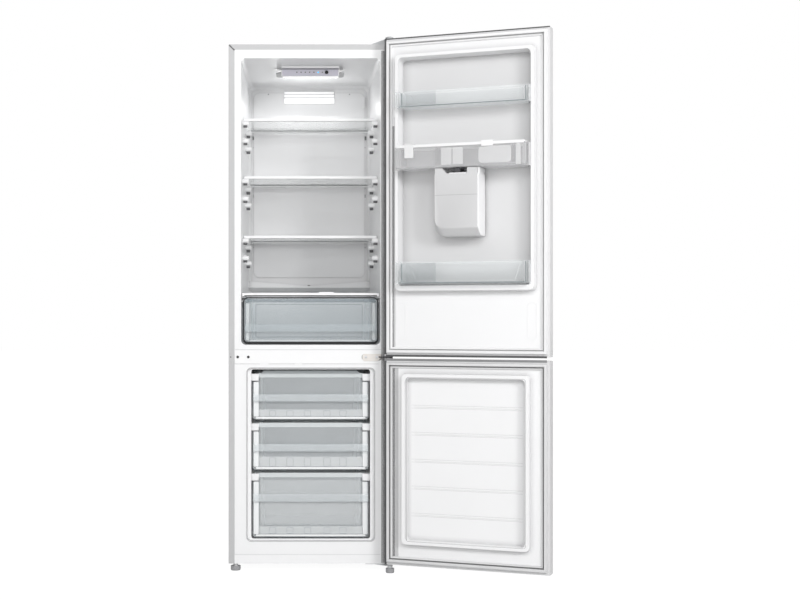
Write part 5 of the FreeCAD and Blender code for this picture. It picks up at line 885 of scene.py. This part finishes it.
# A thin dark ring at the inner edge of the lower door's dike: painted shade along that edge.
plates("lower_inner_shade_line", [(rounded(80.0, 113.6, 476.4, 652.4, 9.0), 17.0, 20.15,
                             rounded(81.2, 114.8, 475.2, 651.2, 8.0))],
       inner_edge_shade, "lower_door", on_door, 0.0001)
plates("liner_pockets", [(rounded(41, 776, 73, 896, 12), -0.2, 0.9, rounded(43, 778, 71, 894, 10)),
                         (rounded(477, 776, 508, 896, 12), -0.2, 0.9, rounded(479, 778, 506, 894, 10))],
       white_liner, "upper_door", on_door, 0.0004)
plates("liner_hooks", [(rounded(33.5, 1506, 41.0, 1531, 2.0), -0.2, 9.6)], white_liner, "upper_door",
       on_door, 0.0012)


# The water dispenser. A drawn white housing inside the upper door backs the grey niche in its outer face,
# and a black valve under the tank reaches down into it.
# The housing's white plastic comes in two copies: a darker one for its front, which is painted shade, and a lighter
# one for the faces turned to the latch side, which is painted light.
housing_shaded_white = moulded("housing_shaded_white", (0.60, 0.60, 0.605), (0.57, 0.57, 0.575), 0.30)
housing_lit_side = moulded("housing_lit_side", (0.88, 0.88, 0.885), (0.86, 0.86, 0.865), 0.28)
dark_plastic = moulded("dark_plastic", (0.16, 0.16, 0.17), (0.11, 0.11, 0.12), 0.35)


def housing_outline(left, right, low, high, wide, tight=6.0):
    """The housing seen from inside: its lower corner on the hinge side is drawn with a wide radius."""
    outline = []
    for u, z, radius, start in ((left + wide, low + wide, wide, 180), (right - tight, low + tight, tight, 270),
                                (right - tight, high - tight, tight, 0), (left + tight, high - tight, tight, 90)):
        for i in range(9):
            angle = math.radians(start + 90 * i / 8)
            outline.append((u + radius * math.cos(angle), z + radius * math.sin(angle)))
    return outline


def dispenser_housing():
    """One drawn cup, two millimetres thick, with a sloping face under its front."""
    front_face = 3
    layers = [(0.2, housing_outline(186.2, 339.8, 1108.2, 1311.8, 34.0)),
              (46.0, housing_outline(187.4, 338.4, 1109.4, 1311.0, 34.0)),
              (69.6, housing_outline(190.0, 336.0, 1131.6, 1309.4, 31.0)),
              (71.9, housing_outline(192.4, 333.6, 1134.6, 1307.0, 29.0, 4.0)),
              (69.8, housing_outline(194.0, 332.0, 1136.0, 1305.6, 27.0, 4.0)),
              (45.0, housing_outline(189.6, 336.2, 1111.8, 1309.0, 31.0)),
              (0.2, housing_outline(188.4, 337.6, 1110.4, 1309.8, 31.0))]
    work = bmesh.new()
    loops = [[work.verts.new(on_door(u, w, z)) for u, z in outline] for w, outline in layers]
    count = len(loops[0])
    for k in range(len(loops)):
        if k == front_face:
            continue
        outer, inner = loops[k], loops[(k + 1) % len(loops)]
        for i in range(count):
            j = (i + 1) % count
            work.faces.new((outer[i], outer[j], inner[j], inner[i]))
    work.faces.new(loops[front_face])
    work.faces.new(loops[front_face + 1])
    bmesh.ops.recalc_face_normals(work, faces=work.faces)
    mesh = bpy.data.meshes.new("dispenser_cup")
    work.to_mesh(mesh)
    work.free()
    mesh.shade_smooth()
    mesh.set_sharp_from_angle(angle=math.radians(38))
    cup = finished(made("dispenser_cup", mesh), housing_shaded_white, housing_lit_side)
    # Faces turned to the latch side get the lighter copy: painted light.
    latch_side = Vector((-1, 0, 0))
    mostly = 0.6
    for face in mesh.polygons:
        if door_turn.inverted().to_3x3() @ face.normal @ latch_side > mostly:
            face.material_index = 1
    return fixed(cup, "upper_door", ("dispenser_housing",))


dispenser_housing()
plates("housing_shoulders", [([(193.0, 1304.0), (236.0, 1304.0), (216.0, 1327.0), (192.4, 1327.0)], 60.0, 71.6),
                             ([(298.0, 1304.0), (333.0, 1304.0), (333.4, 1327.0), (298.6, 1327.0)], 60.0, 71.6)],
       housing_shaded_white, "upper_door", on_door, 0.0012)
plates("housing_side_shoulder", [([(334.0, 1304.0), (338.6, 1304.0), (338.8, 1327.0), (334.2, 1327.0)], 2.0, 69.0)],
       housing_lit_side, "upper_door", on_door, 0.0010)
plates("valve_body", [(disc(266.0, 1318.0, 9.6, 20), 38.0, 70.0), (disc(252.0, 1320.0, 6.4, 16), 40.0, 66.0)],
       cover_line, "tank", on_door, 0.0016)
plates("valve_cup", [([(238.0, 1306.0), (296.0, 1306.0), (296.0, 1311.0), (240.0, 1311.0)], 40.0, 70.8)],
       housing_lit_side, "upper_door", on_door, 0.0012)
# A grey line across the housing's front: painted shade of a fold.
plates("housing_fold_shade", [(oblong(193.0, 1239.0, 333.0, 1240.6), 71.4, 72.0)],
       moulded("fold_shade_grey", (0.42, 0.42, 0.425), (0.39, 0.39, 0.395), 0.3), "upper_door",
       on_door, 0.0002)
eased("dispenser_niche", "grey_plastic", 0.0008, 2, grey_plastic)
eased("dispenser_lever", "dark_plastic", 0.0006, 2, dark_plastic)
eased("dispenser_valve", "dark_plastic", 0.0006, 2, dark_plastic)


# The door's bins and the water tank hang on the upper door's liner and lift off. They are moulded from
# clear plastic, with thicker rims and end ribs, and the tank has a white lid that is pressed on.
bin_clear = clear("bin_clear", (0.88, 0.91, 0.92), 0.13, 0.7, 0.08)
tank_clear = clear("tank_clear", (0.84, 0.84, 0.85), 0.26, 0.85, 0.10)
lid_white = moulded("lid_white", (0.83, 0.83, 0.835), (0.80, 0.80, 0.805), 0.25)
eased("door_bin_upper", "clear_plastic", 0.0008, 3, bin_clear)
eased("door_bin_lower", "clear_plastic", 0.0008, 3, bin_clear)
eased("water_tank", "clear_plastic", 0.0010, 3, tank_clear)
tab_clear = clear("tab_clear", (0.93, 0.93, 0.935), 0.62, 0.85, 0.15)
lid = eased("tank_lid", "lid_white", 0.0010, 3, lid_white, tab_clear)
LID_SKIRT = 1.395
for face in lid.data.polygons:
    if face.center.z < LID_SKIRT:
        face.material_index = 1

edge_teal = clear("edge_teal", (0.13, 0.17, 0.18), 0.75, 0.95, 0.15)
film = clear("film", (0.50, 0.55, 0.57), 0.14, 0.4, 0.15)
pale_film = clear("pale_film", (0.90, 0.92, 0.92), 0.35, 0.7, 0.15)
for name, low, high in (("upper", 1529.8, 1582.0), ("lower", 956.9, 1028.0)):
    body = "bin_" + name
    plates("bin_base_line_" + name, [(oblong(66.0, low + 1.2, 484.0, low + 4.4), 57.4, 57.95)], edge_teal, body,
           on_door, 0.0002)
    # A grey film over the left end of each bin's front: painted shade.
    plates("bin_end_shade_" + name, [(oblong(72.0, low + 6, 192.0, high - 3), 57.5, 57.95)], film, body,
           on_door, 0.0002)
    plates("bin_panel_" + name, [([(103, high - 6), (470, high - 6), (452, low + 8), (126, low + 8)], 57.3, 57.9,
                                  [(106, high - 8), (467, high - 8), (450, low + 10), (128, low + 10)])],
           pale_film, body, on_door, 0.0002)
    plates("bin_end_lines_" + name, [(oblong(76.0, low + 6, 79.0, high - 6), 57.6, 57.97),
                                     (oblong(483.0, low + 3, 485.4, high - 3), 57.4, 57.97)],
           edge_teal, body, on_door, 0.0002)

tank_film = clear("tank_film", (0.42, 0.42, 0.43), 0.35, 0.6, 0.15)
tank_pale = clear("tank_pale", (0.86, 0.86, 0.865), 0.55, 0.8, 0.15)
plates("tank_bands", [(oblong(82.0, 1336.0, 100.0, 1391.0), 77.5, 77.95),
                      (oblong(196.0, 1336.0, 214.0, 1391.0), 77.5, 77.95),
                      (oblong(444.0, 1336.0, 457.0, 1391.0), 77.5, 77.95),
                      (oblong(66.0, 1329.0, 192.0, 1332.6), 77.5, 77.95),
                      (oblong(338.0, 1329.0, 484.0, 1332.6), 77.5, 77.95)],
       tank_film, "tank", on_door, 0.0002)
plates("tank_windows", [(oblong(216.0, 1336.0, 250.0, 1391.0), 77.4, 77.9),
                        (oblong(253.0, 1336.0, 287.0, 1391.0), 77.4, 77.9),
                        (rounded(338.0, 1337.0, 443.0, 1390.0, 12.0), 77.4, 77.9),
                        (oblong(458.0, 1329.0, 473.0, 1396.0), 77.0, 77.97)],
       tank_pale, "tank", on_door, 0.0002)
plates("lid_rim", [(oblong(66.0, 1395.5, 484.0, 1404.6), 77.9, 80.6)], lid_white, "lid", on_door,
       0.0010)
